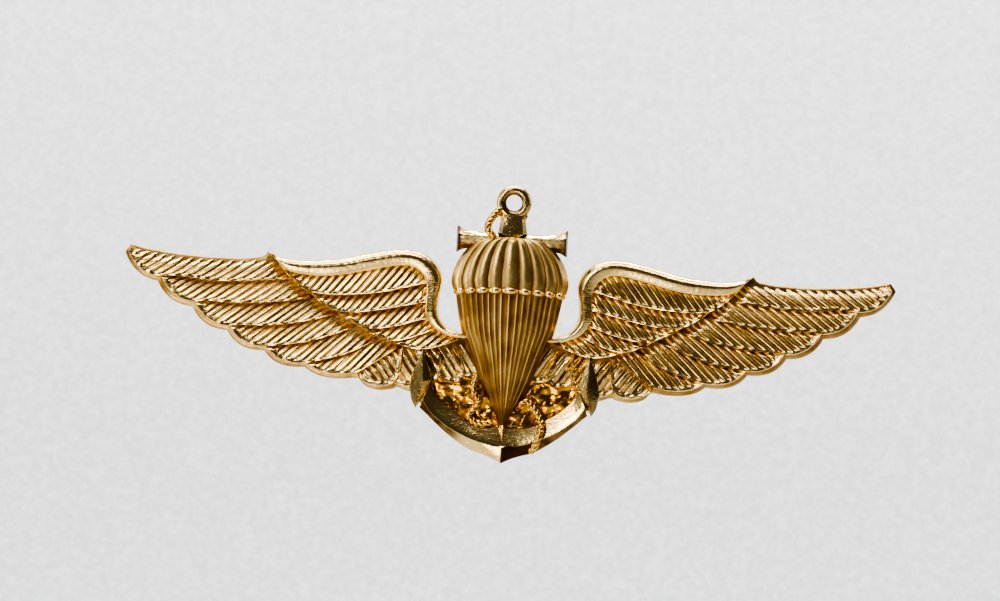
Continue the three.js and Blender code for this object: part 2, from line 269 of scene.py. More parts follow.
def metal(name, bright, deep, rough, peel, marks, patina_and_shade_dark=0.8, groove_dull=0.18):
    """A procedural metal: bright on the high places, darker where patina and painted shade are set, with peel
    and polishing marks.
    """
    material = bpy.data.materials.new(name)
    material.use_nodes = True
    tree = material.node_tree
    tree.nodes.clear()
    add, link = tree.nodes.new, tree.links.new
    output = add("ShaderNodeOutputMaterial")
    shader = add("ShaderNodeBsdfPrincipled")
    shader.inputs["Metallic"].default_value = 1.0
    link(shader.outputs["BSDF"], output.inputs["Surface"])
    millimetres = stretched(tree, add("ShaderNodeTexCoord").outputs["Object"], (MM_PER_METRE,) * 3)
    stored = add("ShaderNodeAttribute")
    stored.attribute_name = "patina_and_shade"
    patina_and_shade = stored.outputs["Fac"]

    uneven = spread(tree, cloud(tree, millimetres, CLOUD_SCALE, 5), 0.35, 0.75, 0.0, UNEVEN)
    ramp = add("ShaderNodeValToRGB")
    ramp.color_ramp.elements[0].color = (*bright, 1)
    ramp.color_ramp.elements[1].color = (*deep, 1)
    # Patina and painted shade: the stored value darkens the colour towards the deep one, and the noise adds a
    # random uneven tone.
    link(times_plus(tree, patina_and_shade, patina_and_shade_dark, uneven), ramp.inputs["Fac"])
    link(ramp.outputs["Color"], shader.inputs["Base Color"])

    grain = cloud(tree, millimetres, GRAIN_SCALE, 6)
    polish = spread(tree, grain, 0.3, 0.75, *rough)
    link(times_plus(tree, patina_and_shade, groove_dull, polish), shader.inputs["Roughness"])

    streaks = cloud(tree, stretched(tree, millimetres, BRUSH_STRETCH, BRUSH_TURN), 1.0, 3)
    link(bumped(tree, grain, peel, over=bumped(tree, streaks, marks)), shader.inputs["Normal"])
    return material


# %% [markdown]
# Gold plate looks different on every part, although it is one bath of gold. The rim and the anchor were
# polished last and hardest. The parachute is a little satin, which softens its gores, and its colour is set
# darker than the other gold: painted shade. The field between the arms is painted a strong orange: a painted
# reflection of the orange light that bounces between gold surfaces in a hollow. The hardware behind is plain
# brass, paler and less red.

# %% Finishes
# The deep colours are what the patina-and-shade value darkens towards: partly patina, partly painted shade.
# The anchor's near-black one is painted shade.
GOLD = (0.97, 0.72, 0.32)
PATINA_AND_SHADE_GOLD = (0.26, 0.11, 0.02)
SHADED_GOLD = (0.09, 0.035, 0.004)
wing_gold = metal("struck_gold_feathers", GOLD, PATINA_AND_SHADE_GOLD, rough=(0.13, 0.3), peel=0.025, marks=0.01)
rim_gold = metal("polished_gold_rim", GOLD, PATINA_AND_SHADE_GOLD, rough=(0.10, 0.22), peel=0.03, marks=0.012)
anchor_gold = metal("polished_gold_anchor", GOLD, SHADED_GOLD, rough=(0.07, 0.2), peel=0.03, marks=0.01,
                    patina_and_shade_dark=1.0, groove_dull=0.03)
# The field's orange colour is a painted reflection of light bouncing between gold surfaces.
field_gold_painted_glow = metal("gold_field_painted_orange_glow", (0.86, 0.46, 0.08), (0.5, 0.16, 0.015),
                   rough=(0.08, 0.2), peel=0.04, marks=0.01)
# The parachute's colour is darker than GOLD: painted shade.
canopy_gold = metal("satin_gold_parachute", (0.80, 0.58, 0.25), (0.24, 0.11, 0.015),
                    rough=(0.26, 0.38), peel=0.014, marks=0.008)
rope_gold = metal("twisted_gold_rope", (0.84, 0.54, 0.17), (0.3, 0.11, 0.015),
                  rough=(0.1, 0.24), peel=0.01, marks=0.006)
nail_brass = metal("drawn_brass_nail", (0.82, 0.66, 0.36), (0.4, 0.26, 0.1),
                   rough=(0.2, 0.34), peel=0.006, marks=0.006)
clutch_brass = metal("stamped_brass_clutch", (0.84, 0.64, 0.32), (0.4, 0.24, 0.08),
                     rough=(0.14, 0.28), peel=0.005, marks=0.004)
spring_brass = metal("rolled_spring_brass", (0.80, 0.62, 0.32), (0.4, 0.25, 0.09),
                     rough=(0.18, 0.32), peel=0.004, marks=0.006)
print("finishes:", len(bpy.data.materials))

# %% [markdown]
# ## The wings' plate
#
# Both wings and the web between them are one strike. Its outline is a smooth leading edge, a hook where the
# coverts stop, and a row of rounded feather tips underneath. The sides slope a little, which lets the blank
# leave the die. The polishing wheel misses that slope, so it frames the feathers as a narrow dull border.
# An outline function draws the right half, and the left half is its mirror image.

# %% Outline of the plate
FLARE = [(3.6, -0.9), (5.5, -0.3), (6.3, 0.8), (6.35, 2.2), (6.1, 3.9)]
SHOULDER = [(6.1, 3.9), (6.6, 5.2), (7.9, 6.2), (9.8, 6.5), (12.2, 6.15), (15.6, 5.35), (19.0, 5.05),
            (21.2, 5.3)]
HOOK = (22.0, 5.7)
LEADING_EDGE = [(22.4, 5.25), (24.5, 4.95), (28.2, 4.95), (31.9, 5.25), (34.5, 5.7)]
TIP = (35.0, 5.0)
NOTCHES = [(31.9, 2.5), (28.65, 0.35), (25.4, -1.65), (21.95, -3.3), (18.2, -4.6), (13.3, -5.3)]
DOWN_EDGE = [(13.3, -5.3), (12.6, -6.05), (11.4, -6.35), (10.2, -6.2), (9.7, -6.0), (8.8, -6.3), (8.2, -6.4)]
WEB_EDGE = [(8.2, -6.4), (6.6, -8.5), (3.8, -10.6), (0, -11.6)]
WEB_TOP = [(0, 1.5), (3.6, 1.5)]
TIP_DROOP = 1.0


def feather_tip(outer, inner, droop, count):
    """The rounded end of a feather, from its outer notch to its inner one."""
    control = Vector((outer[0] * 0.7 + inner[0] * 0.3, (outer[1] + inner[1]) / 2 - droop))
    outer, inner = Vector(outer), Vector(inner)
    made = []
    for i in range(count):
        t = i / (count - 1)
        made.append(outer * (1 - t) ** 2 + control * 2 * t * (1 - t) + inner * t * t)
    return made


def right_half():
    """The right half of the plate's outline, from the top of the web round to the bottom of the web."""
    made = [Vector(p) for p in WEB_TOP]
    made += spline(FLARE, 16) + spline(SHOULDER, 48)[1:] + [Vector(HOOK)] + spline(LEADING_EDGE, 20)
    outer = TIP
    for inner in NOTCHES:
        made += feather_tip(outer, inner, TIP_DROOP, 10)[:-1]
        outer = inner
    return made + spline(DOWN_EDGE, 18)[:-1] + spline(WEB_EDGE, 16)


def inset(outline, amount):
    """A closed outline moved inwards by amount, corner by corner."""
    made = []
    count = len(outline)
    for i, here in enumerate(outline):
        before, after = outline[i - 1], outline[(i + 1) % count]
        side = (here - before).normalized() + (after - here).normalized()
        inward = Vector((side.y, -side.x))
        if inward.length < 1e-6:
            made.append(here.copy())
            continue
        inward.normalize()
        made.append(here + inward * amount)
    return made


half = right_half()
plate_outline = half + flipped(half[1:-1])[::-1]
print("plate outline:", len(plate_outline), "points")

# %% Plate with sloping sides
PLATE_FRONT = 1.0
DRAFT = [(0.0, 0.05), (0.06, 0.0), (0.78, 0.0), (0.86, 0.03), (0.91, 0.09), (0.96, 0.26), (PLATE_FRONT, 0.45)]
BACK_DULL, FRONT_DULL = 0.1, 0.75
plate_rings = [[at(p.x, depth, p.y) for p in inset(plate_outline, amount)] for depth, amount in DRAFT]
dulled = [mix(BACK_DULL, FRONT_DULL, depth / PLATE_FRONT) for depth, _ in DRAFT for _ in plate_outline]
plate = make_piece("wings_plate", [loft(plate_rings)], crease=50, patina_and_shade_values=dulled)
settle(plate, "badge", "gold_wings", wing_gold, "wings")

# %% [markdown]
# ## Feathers
#
# A struck feather is not a flat shape with lines drawn on it. It is a low crowned bar whose lower edge stands
# over the next feather, cut by slanting barbs: each barb climbs slowly out of its gap and drops steeply into
# the next, so the light catches one side only. Near the upper edge the barbs even out and end in a chamfer.
# If the mesh were a plain grid the gaps would be jagged, so each column of points lies along a barb: the
# outline is cut by slanting lines, a fixed number of them to each barb, and the height is worked out along
# every cut.

# %% Cuts and barbs
BARB_COLUMNS = 14
BARB_CREST = 0.68
BARB_GAP = 0.13


def cut(outline, along, offset):
    """Where a slanting line crosses an outline: its lowest and highest place along the line."""
    across = Vector((-along.y, along.x))
    places = []
    for p, q in zip(outline, outline[1:] + outline[:1]):
        a, b = p.dot(across) - offset, q.dot(across) - offset
        if (a < 0) != (b < 0):
            hit = p.lerp(q, a / (a - b))
            places.append(hit.dot(along))
    return (min(places), max(places)) if len(places) > 1 else None


def barb(phase):
    """The height across one barb: out of the gap, up a long even slope, and down a short steep one."""
    slope = mix(0.42, 1.0, smooth(0.0, 1.0, min(phase, BARB_CREST) / 0.76))
    return slope * smooth(0.0, BARB_GAP, phase) ** 0.7 * smooth(1.0, BARB_CREST, phase) ** 0.8


# %% Steps along one cut
LOW_EDGE = [0.0, 0.02, 0.055, 0.1, 0.15, 0.2, 0.27, 0.34, 0.42, 0.5, 0.58]
HIGH_EDGE = [0.46, 0.34, 0.24, 0.15, 0.08, 0.03, 0.0]
MIDDLE_STEPS = 8
FULL_LENGTH = 1.1


def steps_along(length):
    """Places up one cut, crowded at both edges, and the shrink that fits them on a short cut."""
    shrink = min(1.0, length / FULL_LENGTH)
    room = length - (LOW_EDGE[-1] + HIGH_EDGE[0]) * shrink
    places = [d * shrink for d in LOW_EDGE]
    places += [LOW_EDGE[-1] * shrink + room * (k + 1) / (MIDDLE_STEPS + 1) for k in range(MIDDLE_STEPS)]
    places += [length - d * shrink for d in HIGH_EDGE]
    return places, shrink


# %% Relief of one feather
FEATHER = dict(ridge=0.2, crown=0.12, chamfered=0.4, lip=0.035)
LIP, LIP_SLOPE = 0.24, 0.42
LIP_DROP, TOP_DROP = 0.12, 0.1
WEAR = 0.09
EVEN_OUT = (1.15, 0.75)
CHAMFER_START, CHAMFER_MOST = 1.05, 0.42


def struck(kind, spot, offset, d, length, shrink):
    """The depth and the patina-and-shade value of a feather at one spot, d up the cut from its lip."""
    v = d / length if length > 0 else 0.0
    lip_edge = 1 - smooth(0.0, 0.1 * shrink, d)
    top_edge = 1 - smooth(0.0, 0.12 * shrink, length - d)
    barbed = smooth(LIP * shrink, (LIP + LIP_SLOPE) * shrink, d) * (1 - top_edge) * shrink
    uneven = noise.noise(Vector((spot.x * 1.6, spot.y * 1.6, 5.0)))
    worn = uneven * WEAR * smooth(0.85, 0.3, d) * (1 - top_edge)
    roll = math.exp(-((d / max(shrink, 0.01) - 0.11) / 0.07) ** 2) * kind["lip"]
    turns = offset / kind["pitch"]
    even = abs(math.sin(math.pi * turns)) ** 0.7
    bar = mix(barb(turns % 1.0), even, smooth(*EVEN_OUT, length - d))
    chamfer = min(max(CHAMFER_START - (length - d), 0.0), CHAMFER_MOST) * kind["chamfered"]
    depth = mix(kind["high"], kind["low"], v ** 1.4) + kind["crown"] * math.sin(math.pi * v) ** 0.8
    depth += roll + worn * shrink + kind["ridge"] * (bar - 1) * barbed - chamfer * shrink
    depth -= LIP_DROP * lip_edge ** 2 + TOP_DROP * top_edge ** 2
    # Patina and painted shade: darker in the barb gaps and down their steep sides, along the lip, and under
    # the edge of the feather above.
    patina_and_shade = smooth(0.62, 0.1, bar) * barbed + 0.6 * lip_edge + 0.3 * smooth(0.3, 0.0, length - d)
    return depth, min(max(patina_and_shade, 0.0), 1.0)


# %% One feather
# The cuts are spaced evenly from a feather's start to one place beyond every feather. Those that miss it are
# left out.
SKIRT = 0.9
END_SHARE = 0.002
LAST_CUT = 1.0


def feather(outline, lean, flip, **settings):
    """A closed crowned feather. low and high are its depths at the hidden upper edge and at the lip."""
    kind = {**FEATHER, **settings}
    along = Vector((-math.cos(lean), math.sin(lean)))
    across = Vector((-along.y, along.x))
    side = -1 if flip else 1
    reach = [p.dot(across) for p in outline]
    start, end = min(reach), max(reach)
    count = max(int((end - start) / kind["pitch"] * BARB_COLUMNS), 8)
    rings, patina_and_shade_values = [], []
    for c in range(count + 1):
        last = LAST_CUT if c else end
        offset = mix(start, last, min(max(c / count, END_SHARE), 1 - END_SHARE))
        ends = cut(outline, along, offset)
        if ends is None:
            continue
        bottom, top = ends
        places, shrink = steps_along(top - bottom)
        ring = []
        for d in places:
            spot = across * offset + along * (bottom + d)
            depth, patina_and_shade = struck(kind, spot, offset, d, top - bottom, shrink)
            ring.append(at(side * spot.x, depth, spot.y))
            patina_and_shade_values.append(patina_and_shade)
        for d in (top - bottom, 0.0):
            spot = across * offset + along * (bottom + d)
            ring.append(at(side * spot.x, SKIRT, spot.y))
            patina_and_shade_values.append(1.0)
        rings.append(ring)
    return loft(rings), patina_and_shade_values


def feather_piece(name, feathers, **kind):
    """One object from a list of feathers, each with its own outline, lean and pitch."""
    bodies, patina_and_shade_values = [], []
    for settings in feathers:
        body, values = feather(**settings, **kind)
        bodies.append(body)
        patina_and_shade_values.extend(values)
    return make_piece(name, bodies, crease=50, patina_and_shade_values=patina_and_shade_values)


# %% [markdown]
# ## Flight feathers
#
# Six long feathers fan out to the tip. Each one's lower edge is drawn by a few points; its upper edge is the
# lower edge of the feather above, moved up so that it hides underneath. The outer ends are the same rounded
# tips as the plate's, moved in by the width of the sloping border.

# %% Flight feather outlines
HIDDEN = 0.3
FLIGHT_PITCH = 0.52
FLIGHT_EDGES = [
    [(19.4, 3.3), (22.8, 3.0), (26.4, 2.75), (30.0, 3.02), (31.6, 2.9)],
    [(17.6, 1.7), (21.3, 1.1), (25.0, 0.87), (27.4, 0.9), (28.4, 0.75)],
    [(15.2, 0.4), (18.6, -0.55), (22.0, -1.05), (24.2, -1.12), (25.15, -1.28)],
    [(13.6, -0.7), (17.1, -2.05), (19.4, -2.6), (21.75, -2.95)],
    [(11.4, -1.5), (13.9, -3.0), (16.4, -3.85), (18.0, -4.25)],
    [(9.2, -1.9), (10.5, -2.9), (11.6, -3.7), (13.3, -4.85)],
]
FLIGHT_TOP = [(21.0, 5.0), (22.4, 5.0), (24.5, 4.8), (28.2, 4.8), (31.9, 5.08), (34.35, 5.45)]
FLIGHT_TIPS = [(34.62, 4.98), (31.6, 2.9), (28.4, 0.75), (25.15, -1.28), (21.75, -2.95), (18.0, -4.25),
               (13.3, -4.85)]
FLIGHT_LEANS = [34, 36, 38, 40, 44, 48]


def lifted(points, amount):
    """A line moved straight up."""
    return [Vector((p[0], p[1] + amount)) for p in points]


def flight_feathers(flip):
    """The settings of the six flight feathers of one wing, the topmost first."""
    made = []
    for i, edge in enumerate(FLIGHT_EDGES):
        tip = feather_tip(FLIGHT_TIPS[i], FLIGHT_TIPS[i + 1], TIP_DROOP, 14)
        top = spline(FLIGHT_TOP, 30) if i == 0 else lifted(spline(FLIGHT_EDGES[i - 1], 30), HIDDEN)
        outline = spline(edge, 30)[:-1] + tip[::-1] + top[::-1]
        made.append(dict(outline=outline, lean=math.radians(FLIGHT_LEANS[i]), pitch=FLIGHT_PITCH, flip=flip))
    return made


for side, flip in (("left", True), ("right", False)):
    piece = feather_piece(f"{side}_flight_feathers", flight_feathers(flip), low=1.08, high=1.5)
    settle(piece, "badge", "gold_wings", wing_gold)

# %% [markdown]
# ## Coverts
#
# Inside the rim the short coverts stand higher than the flight feathers, and their rounded ends make the
# slanting line that runs down from the hook. They are the same kind of feather with steeper barbs.

# %% Covert outlines
COVERT_EDGES = [
    [(7.2, 3.6), (9.1, 3.1), (11.9, 2.4), (15.0, 2.05), (17.4, 2.05), (18.6, 2.4), (19.7, 3.2), (20.7, 4.25),
     (21.6, 5.3)],
    [(7.2, 1.85), (9.1, 1.43), (11.9, 0.8), (14.0, 0.5), (15.4, 0.52), (16.5, 0.95), (17.4, 1.55),
     (18.1, 2.15)],
    [(7.1, 0.35), (8.4, 0.0), (9.8, -0.45), (11.6, -0.82), (12.9, -0.82), (13.9, -0.45), (14.9, 0.1),
     (15.7, 0.6)],
    [(6.3, -0.5), (8.4, -1.4), (9.7, -1.8), (10.7, -1.88), (11.6, -1.62), (12.5, -1.2), (13.2, -0.75)],
    [(3.4, -0.95), (5.2, -1.8), (6.95, -2.38), (8.2, -2.5), (9.2, -2.33), (10.1, -2.05), (10.9, -1.75)],
]
COVERT_TOP = [(7.2, 3.6), (7.3, 4.4), (8.1, 5.3), (9.6, 5.6), (12.0, 5.3), (15.6, 4.5), (19.0, 4.3),
              (21.6, 5.3)]
COVERT_ROOT_TOP = [(3.4, -0.8), (5.2, -0.75), (6.3, -0.3)]
COVERT_LEANS = [52, 52, 50, 48, 42]
COVERT_PITCH = 0.54


def covert_feathers(flip):
    """The settings of one wing's coverts, the topmost first."""
    made = []
    for i, edge in enumerate(COVERT_EDGES):
        top = spline(COVERT_TOP, 40) if i == 0 else lifted(spline(COVERT_EDGES[i - 1], 40), HIDDEN)
        if i == len(COVERT_EDGES) - 1:
            top = [Vector(p) for p in COVERT_ROOT_TOP] + top
        outline = spline(edge, 40) + top[::-1]
        made.append(dict(outline=outline, lean=math.radians(COVERT_LEANS[i]), pitch=COVERT_PITCH, flip=flip))
    return made


for side, flip in (("left", True), ("right", False)):
    piece = feather_piece(f"{side}_coverts", covert_feathers(flip), low=1.35, high=1.78, lip=0.07)
    settle(piece, "badge", "gold_wings", wing_gold)

# %% [markdown]
# ## Down feathers
#
# Below the coverts a few short, round feathers hang beside the parachute and behind the anchor's palms. Their
# barbs are steeper and lean the other way, so they catch the light when the long feathers are dark.

# %% Down feather outlines
DOWN_FEATHERS = [
    [(9.4, -2.2), (10.6, -2.8), (12.0, -3.8), (13.4, -4.75), (12.9, -5.5), (12.1, -5.9), (11.0, -5.98),
     (10.0, -5.6), (9.5, -4.4)],
    [(8.0, -2.3), (9.6, -2.4), (10.2, -3.4), (10.15, -4.6), (9.6, -5.6), (8.8, -5.95), (8.0, -5.8),
     (7.5, -4.6), (7.5, -3.2)],
    [(6.2, -2.2), (7.9, -2.3), (8.1, -3.4), (7.8, -4.6), (7.2, -5.5), (6.4, -5.6), (5.9, -4.6), (5.8, -3.4)],
    [(4.6, -2.0), (6.6, -2.2), (6.75, -3.3), (6.4, -4.3), (5.7, -5.1), (4.8, -5.35), (4.0, -5.1),
     (3.8, -3.8)],
    [(2.6, -1.6), (4.8, -1.9), (4.9, -3.0), (4.5, -4.1), (3.8, -4.8), (3.0, -4.95), (2.2, -4.6), (2.1, -3.0)],
]
DOWN_LEANS = [126, 126, 125, 124, 122]
DOWN_PITCH = 0.6


def down_feathers(flip):
    """The settings of one wing's five round feathers, the outermost first."""
    made = []
    for points, lean in zip(DOWN_FEATHERS, DOWN_LEANS):
        closed = [Vector(p) for p in points]
        ring = spline(closed + closed[:1], 48)[:-1]
        made.append(dict(outline=ring, lean=math.radians(lean), pitch=DOWN_PITCH, flip=flip))
    return made


for side, flip in (("left", True), ("right", False)):
    piece = feather_piece(f"{side}_down_feathers", down_feathers(flip), low=1.1, high=1.42,
                          ridge=0.26, chamfered=0.1, lip=0.06)
    settle(piece, "badge", "gold_wings", wing_gold)

# %% [markdown]
# ## The polished rim
#
# A smooth rolled band runs from the hook over the shoulder and down to the web. It is widest halfway along
# the top and narrows towards the flare. Its outer edge is a tight curve that takes the brightest light, and
# the rest is a broad slope down to the feathers. It is swept between two drawn lines, the outer and the
# inner edge.

# %% Sweep of the rim
RIM_OUTER = [HOOK, (21.2, 5.32), (19.0, 5.03), (15.6, 5.33), (12.2, 6.12), (9.8, 6.47), (7.9, 6.17),
             (6.62, 5.18), (6.13, 3.9), (6.37, 2.2), (6.32, 0.8), (5.5, -0.32), (4.4, -0.75), (3.2, -0.95)]
RIM_INNER = [(21.75, 5.45), (20.4, 4.15), (19.0, 3.75), (15.8, 3.78), (12.1, 4.6), (10.2, 4.98),
             (8.95, 4.95), (8.0, 4.3), (7.55, 3.3), (7.55, 1.9), (7.5, 0.75), (6.7, -0.45), (5.3, -1.15),
             (3.9, -1.3)]
RIM_FOOT = 0.95
RIM_PROFILE = [(0.0, RIM_FOOT), (0.0, 1.3), (0.02, 1.5), (0.06, 1.64), (0.12, 1.78), (0.2, 1.91), (0.28, 2.0),
               (0.36, 2.05), (0.44, 2.07), (0.54, 2.06), (0.65, 2.03), (0.76, 1.99), (0.86, 1.94),
               (0.92, 1.9), (0.97, 1.82), (1.0, 1.65), (1.0, RIM_FOOT)]
RIM_STEPS = 150
HOOK_END, HOOK_HEIGHT = 0.12, 0.75


def rim(flip):
    """The closed band of one wing."""
    rings = []
    for i, (a, b) in enumerate(zip(spline(RIM_OUTER, RIM_STEPS), spline(RIM_INNER, RIM_STEPS))):
        height = mix(HOOK_HEIGHT, 1.0, smooth(0.0, HOOK_END, i / (RIM_STEPS - 1)))
        ring = []
        for across, depth in RIM_PROFILE:
            p = a.lerp(b, across)
            ring.append(at(-p.x if flip else p.x, RIM_FOOT + (depth - RIM_FOOT) * height, p.y))
        rings.append(ring)
    return loft(rings)


for side, flip in (("left", True), ("right", False)):
    piece = make_piece(f"{side}_rim", [rim(flip)], crease=45)
    settle(piece, "badge", "gold_wings", rim_gold)

# %% [markdown]
# ## The parachute
#
# The canopy is nine puffed gores that meet at the crown, closed at the hem by a rolled band that follows
# every puff. Below it the suspension lines run together to a point: one from every seam and one from the
# middle of every gore, where there is room, with the metal slightly hollow between them. One grid makes all
# of it: every row has the same number of points across each gore, so the seams of the canopy run straight
# into the lines of the cone. The outer gores are narrower, because they are seen turning away.

# %% Rows of the parachute
GORES = [-1.0, -0.81, -0.61, -0.385, -0.15, 0.15, 0.385, 0.61, 0.81, 1.0]
GORE_POINTS = 12
CANOPY_SIDE = [(0.4, 8.1), (1.7, 8.0), (2.75, 7.78), (3.6, 7.3), (4.35, 6.5), (4.88, 5.6), (5.2, 4.6),
               (5.3, 3.85), (5.12, 3.15)]
CONE_SIDE = [(4.86, 2.75), (4.53, 1.0), (4.2, -0.5), (3.62, -1.9), (2.97, -3.4), (2.39, -4.85), (1.65, -6.3),
             (0.85, -7.7), (0.36, -8.9)]
CANOPY_MIDDLE, CONE_EDGE = 3.75, 1.5
FULL_GORE = 1.2
CHUTE_BACK = 1.3
HEM_ARC = 0.3
LINE_HALF, WIDEST_LINE = 0.11, 0.15


def dome(a, edge, middle):
    """The depth across the parachute, from its side at a=-1 or 1 to its middle at a=0."""
    return mix(edge, middle, (1 - abs(a) ** 2.3) ** 0.6)


def across_gore(k, f):
    """The place f of the way across gore k, from -1 to 1."""
    return mix(GORES[k], GORES[k + 1], f)


def gore_steps(wide, lined):
    """Places across one gore: evenly spaced, or crowded round its three lines."""
    if not lined:
        return [j / GORE_POINTS for j in range(GORE_POINTS)]
    edge = min(LINE_HALF / wide, WIDEST_LINE)
    middle = [0.5 + shift * edge for shift in (-1.5, -0.6, 0.0, 0.6, 1.5)]
    return [0.0, 0.5 * edge, edge, 1.6 * edge] + middle + [1 - 1.6 * edge, 1 - edge, 1 - 0.5 * edge]


def chute_row(half_width, height, depth_of, arc=0.0, lined=False):
    """One closed ring: the front across all gores, then two points at the back."""
    ring, values = [], []
    for k in range(len(GORES) - 1):
        wide = (GORES[k + 1] - GORES[k]) * half_width
        for f in gore_steps(wide, lined):
            a = across_gore(k, f)
            depth, value = depth_of(a, f, wide)
            ring.append(at(a * half_width, depth, height + arc * (1 - a * a)))
            values.append(value)
    depth, value = depth_of(1.0, 0.0, wide)
    ring.append(at(half_width, depth, height))
    values.append(value)
    ring.append(at(half_width, CHUTE_BACK, height))
    ring.append(at(-half_width, CHUTE_BACK, height))
    return ring, values + [1.0, 1.0]


# %% Shape of the canopy, hem and cone
CANOPY_EDGE = 1.75
CANOPY_PUFF, HEM_PUFF, HEM_SINK = 0.24, 0.2, 0.14


def canopy_depth(b):
    """How a canopy row stands forward, b of the way from the crown to the hem."""
    edge = mix(2.45, CANOPY_EDGE, smooth(0.0, 0.45, b))
    middle = mix(2.75, CANOPY_MIDDLE, math.sin(min(b, 1.0) * math.pi / 2) ** 0.8)
    puff = CANOPY_PUFF * smooth(0.0, 0.35, b)

    def depth_of(a, f, wide):
        bulge = abs(math.sin(math.pi * f)) ** 0.75
        depth = dome(a, edge, middle) + puff * min(wide / FULL_GORE, 1.2) * bulge
        # Patina and painted shade: darker in the seams between the puffed gores.
        return depth, 0.8 * (1 - bulge) ** 0.6 * smooth(0.0, 0.2, b)

    return depth_of


def hem_depth(a, f, wide):
    """How the sunk band under the hem's beads stands forward, and its painted shade, dark all along and
    darkest at the seams.
    """
    bulge = abs(math.sin(math.pi * f)) ** 0.6
    depth = dome(a, CANOPY_EDGE, CANOPY_MIDDLE) - HEM_SINK + HEM_PUFF * min(wide / FULL_GORE, 1.2) * bulge
    return depth, 0.6 * (1 - bulge) + 0.5


def line_crest(distance, reach):
    """A thin rounded line, 1 at its top."""
    return math.exp(-(distance / reach * 1.15) ** 2)


def cone_depth(b):
    """How a cone row stands forward, with thin raised lines on the seams and between them."""
    edge = mix(CONE_EDGE, 1.55, b)
    middle = mix(3.45, 2.35, b ** 1.3)
    rise = mix(0.10, 0.06, b)

    def depth_of(a, f, wide):
        reach = min(LINE_HALF / wide, WIDEST_LINE)
        between = line_crest(abs(f - 0.5), reach) * smooth(0.55, 1.0, wide)
        crest = max(line_crest(min(f, 1 - f), reach), between)
        hollow = 0.05 * abs(math.sin(2 * math.pi * f)) * min(wide / FULL_GORE, 1.0)
        # Patina and painted shade: the panels between the raised lines are darker than the lines.
        return dome(a, edge, middle) + rise * crest - hollow, 1.0 - 0.7 * crest

    return depth_of


# %% One skin over canopy, hem and cone
CANOPY_ROWS, HEM_ROWS, CONE_ROWS = 44, 4, 64
HEM_TOP, HEM_HEIGHT, HEM_HALF = 3.12, 0.36, 5.1
rows = []
for i, p in enumerate(evenly(spline(CANOPY_SIDE, 120), CANOPY_ROWS)):
    b = i / (CANOPY_ROWS - 1)
    rows.append(chute_row(p.x, p.y, canopy_depth(b), arc=HEM_ARC * b ** 3))
for i in range(HEM_ROWS):
    t = i / (HEM_ROWS - 1)
    rows.append(chute_row(mix(HEM_HALF, 5.0, t), HEM_TOP - HEM_HEIGHT * t, hem_depth, arc=HEM_ARC))
for i, p in enumerate(evenly(spline(CONE_SIDE, 160), CONE_ROWS)):
    b = i / (CONE_ROWS - 1)
    height = min(p.y, HEM_TOP - HEM_HEIGHT - 0.02)
    rows.append(chute_row(p.x, height, cone_depth(b), arc=HEM_ARC * (1 - b) ** 2, lined=True))
chute_rings = [ring for ring, _ in rows]
chute_patina_and_shade = [value for _, values in rows for value in values]
parachute = make_piece("parachute_relief", [loft(chute_rings)], crease=60, patina_and_shade_values=chute_patina_and_shade)
settle(parachute, "badge", "gold_parachute", canopy_gold, "parachute")

# %% [markdown]
# The hem is a roll of its own, thickest in the middle of each gore, so it reads as a string of bright beads.
# It is a tube along the hem line whose radius swells and shrinks with the gores.

# %% Beaded hem
BEAD_STEPS, BEAD_SIDES = 14, 16
BEAD_THIN, BEAD_FAT, BEAD_DEEPER = 0.15, 0.32, 1.15


def hem_roll():
    """A tube of beads, one to each gore, just in front of the canopy's last row."""
    centre, sizes = [], []
    for k in range(len(GORES) - 1):
        wide = (GORES[k + 1] - GORES[k]) * HEM_HALF
        for j in range(BEAD_STEPS + (k == len(GORES) - 2)):
            f = j / BEAD_STEPS
            a = across_gore(k, f)
            swell = math.sin(math.pi * f) ** 0.7
            depth = dome(a, 1.72, CANOPY_MIDDLE) + CANOPY_PUFF * min(wide / FULL_GORE, 1.2) * swell
            centre.append((a * HEM_HALF, depth, HEM_TOP - HEM_HEIGHT * 0.5 + HEM_ARC * (1 - a * a)))
            sizes.append(mix(BEAD_THIN, BEAD_FAT, swell))
    rings, values = [], []
    for (x, depth, z), size in zip(centre, sizes):
        ring = []
        for j in range(BEAD_SIDES):
            b = 2 * math.pi * j / BEAD_SIDES
            ring.append(at(x, depth + size * BEAD_DEEPER * math.cos(b), z + size * math.sin(b)))
        rings.append(ring)
        # Painted shade: darker where the roll is thin, between the beads.
        values.extend([max(0.0, (0.2 - size) * 8)] * BEAD_SIDES)
    return loft(rings), values


hem_body, hem_painted_shade = hem_roll()
hem = make_piece("parachute_hem", [hem_body], crease=60, patina_and_shade_values=hem_painted_shade)
settle(hem, "badge", "gold_parachute", rim_gold)

# %% [markdown]
# ## The anchor
#
# The arms are long facets either side of a ridge: a broad one that faces up and in, and a narrow steep one
# that faces down and out. At the crown the two sides meet in a sharp corner, bright on one side and dark on
# the other; the outer facets carry painted shade, dark on the right and towards the left palm, and the inner
# facets a little towards their inner edge. Both arms are one loft from palm to palm, so there is no wall
# inside the crown. The palms are small spades with a ridge of their own, evenly darkened with painted shade.
# The shank shows only at both ends, because the parachute hides the rest.

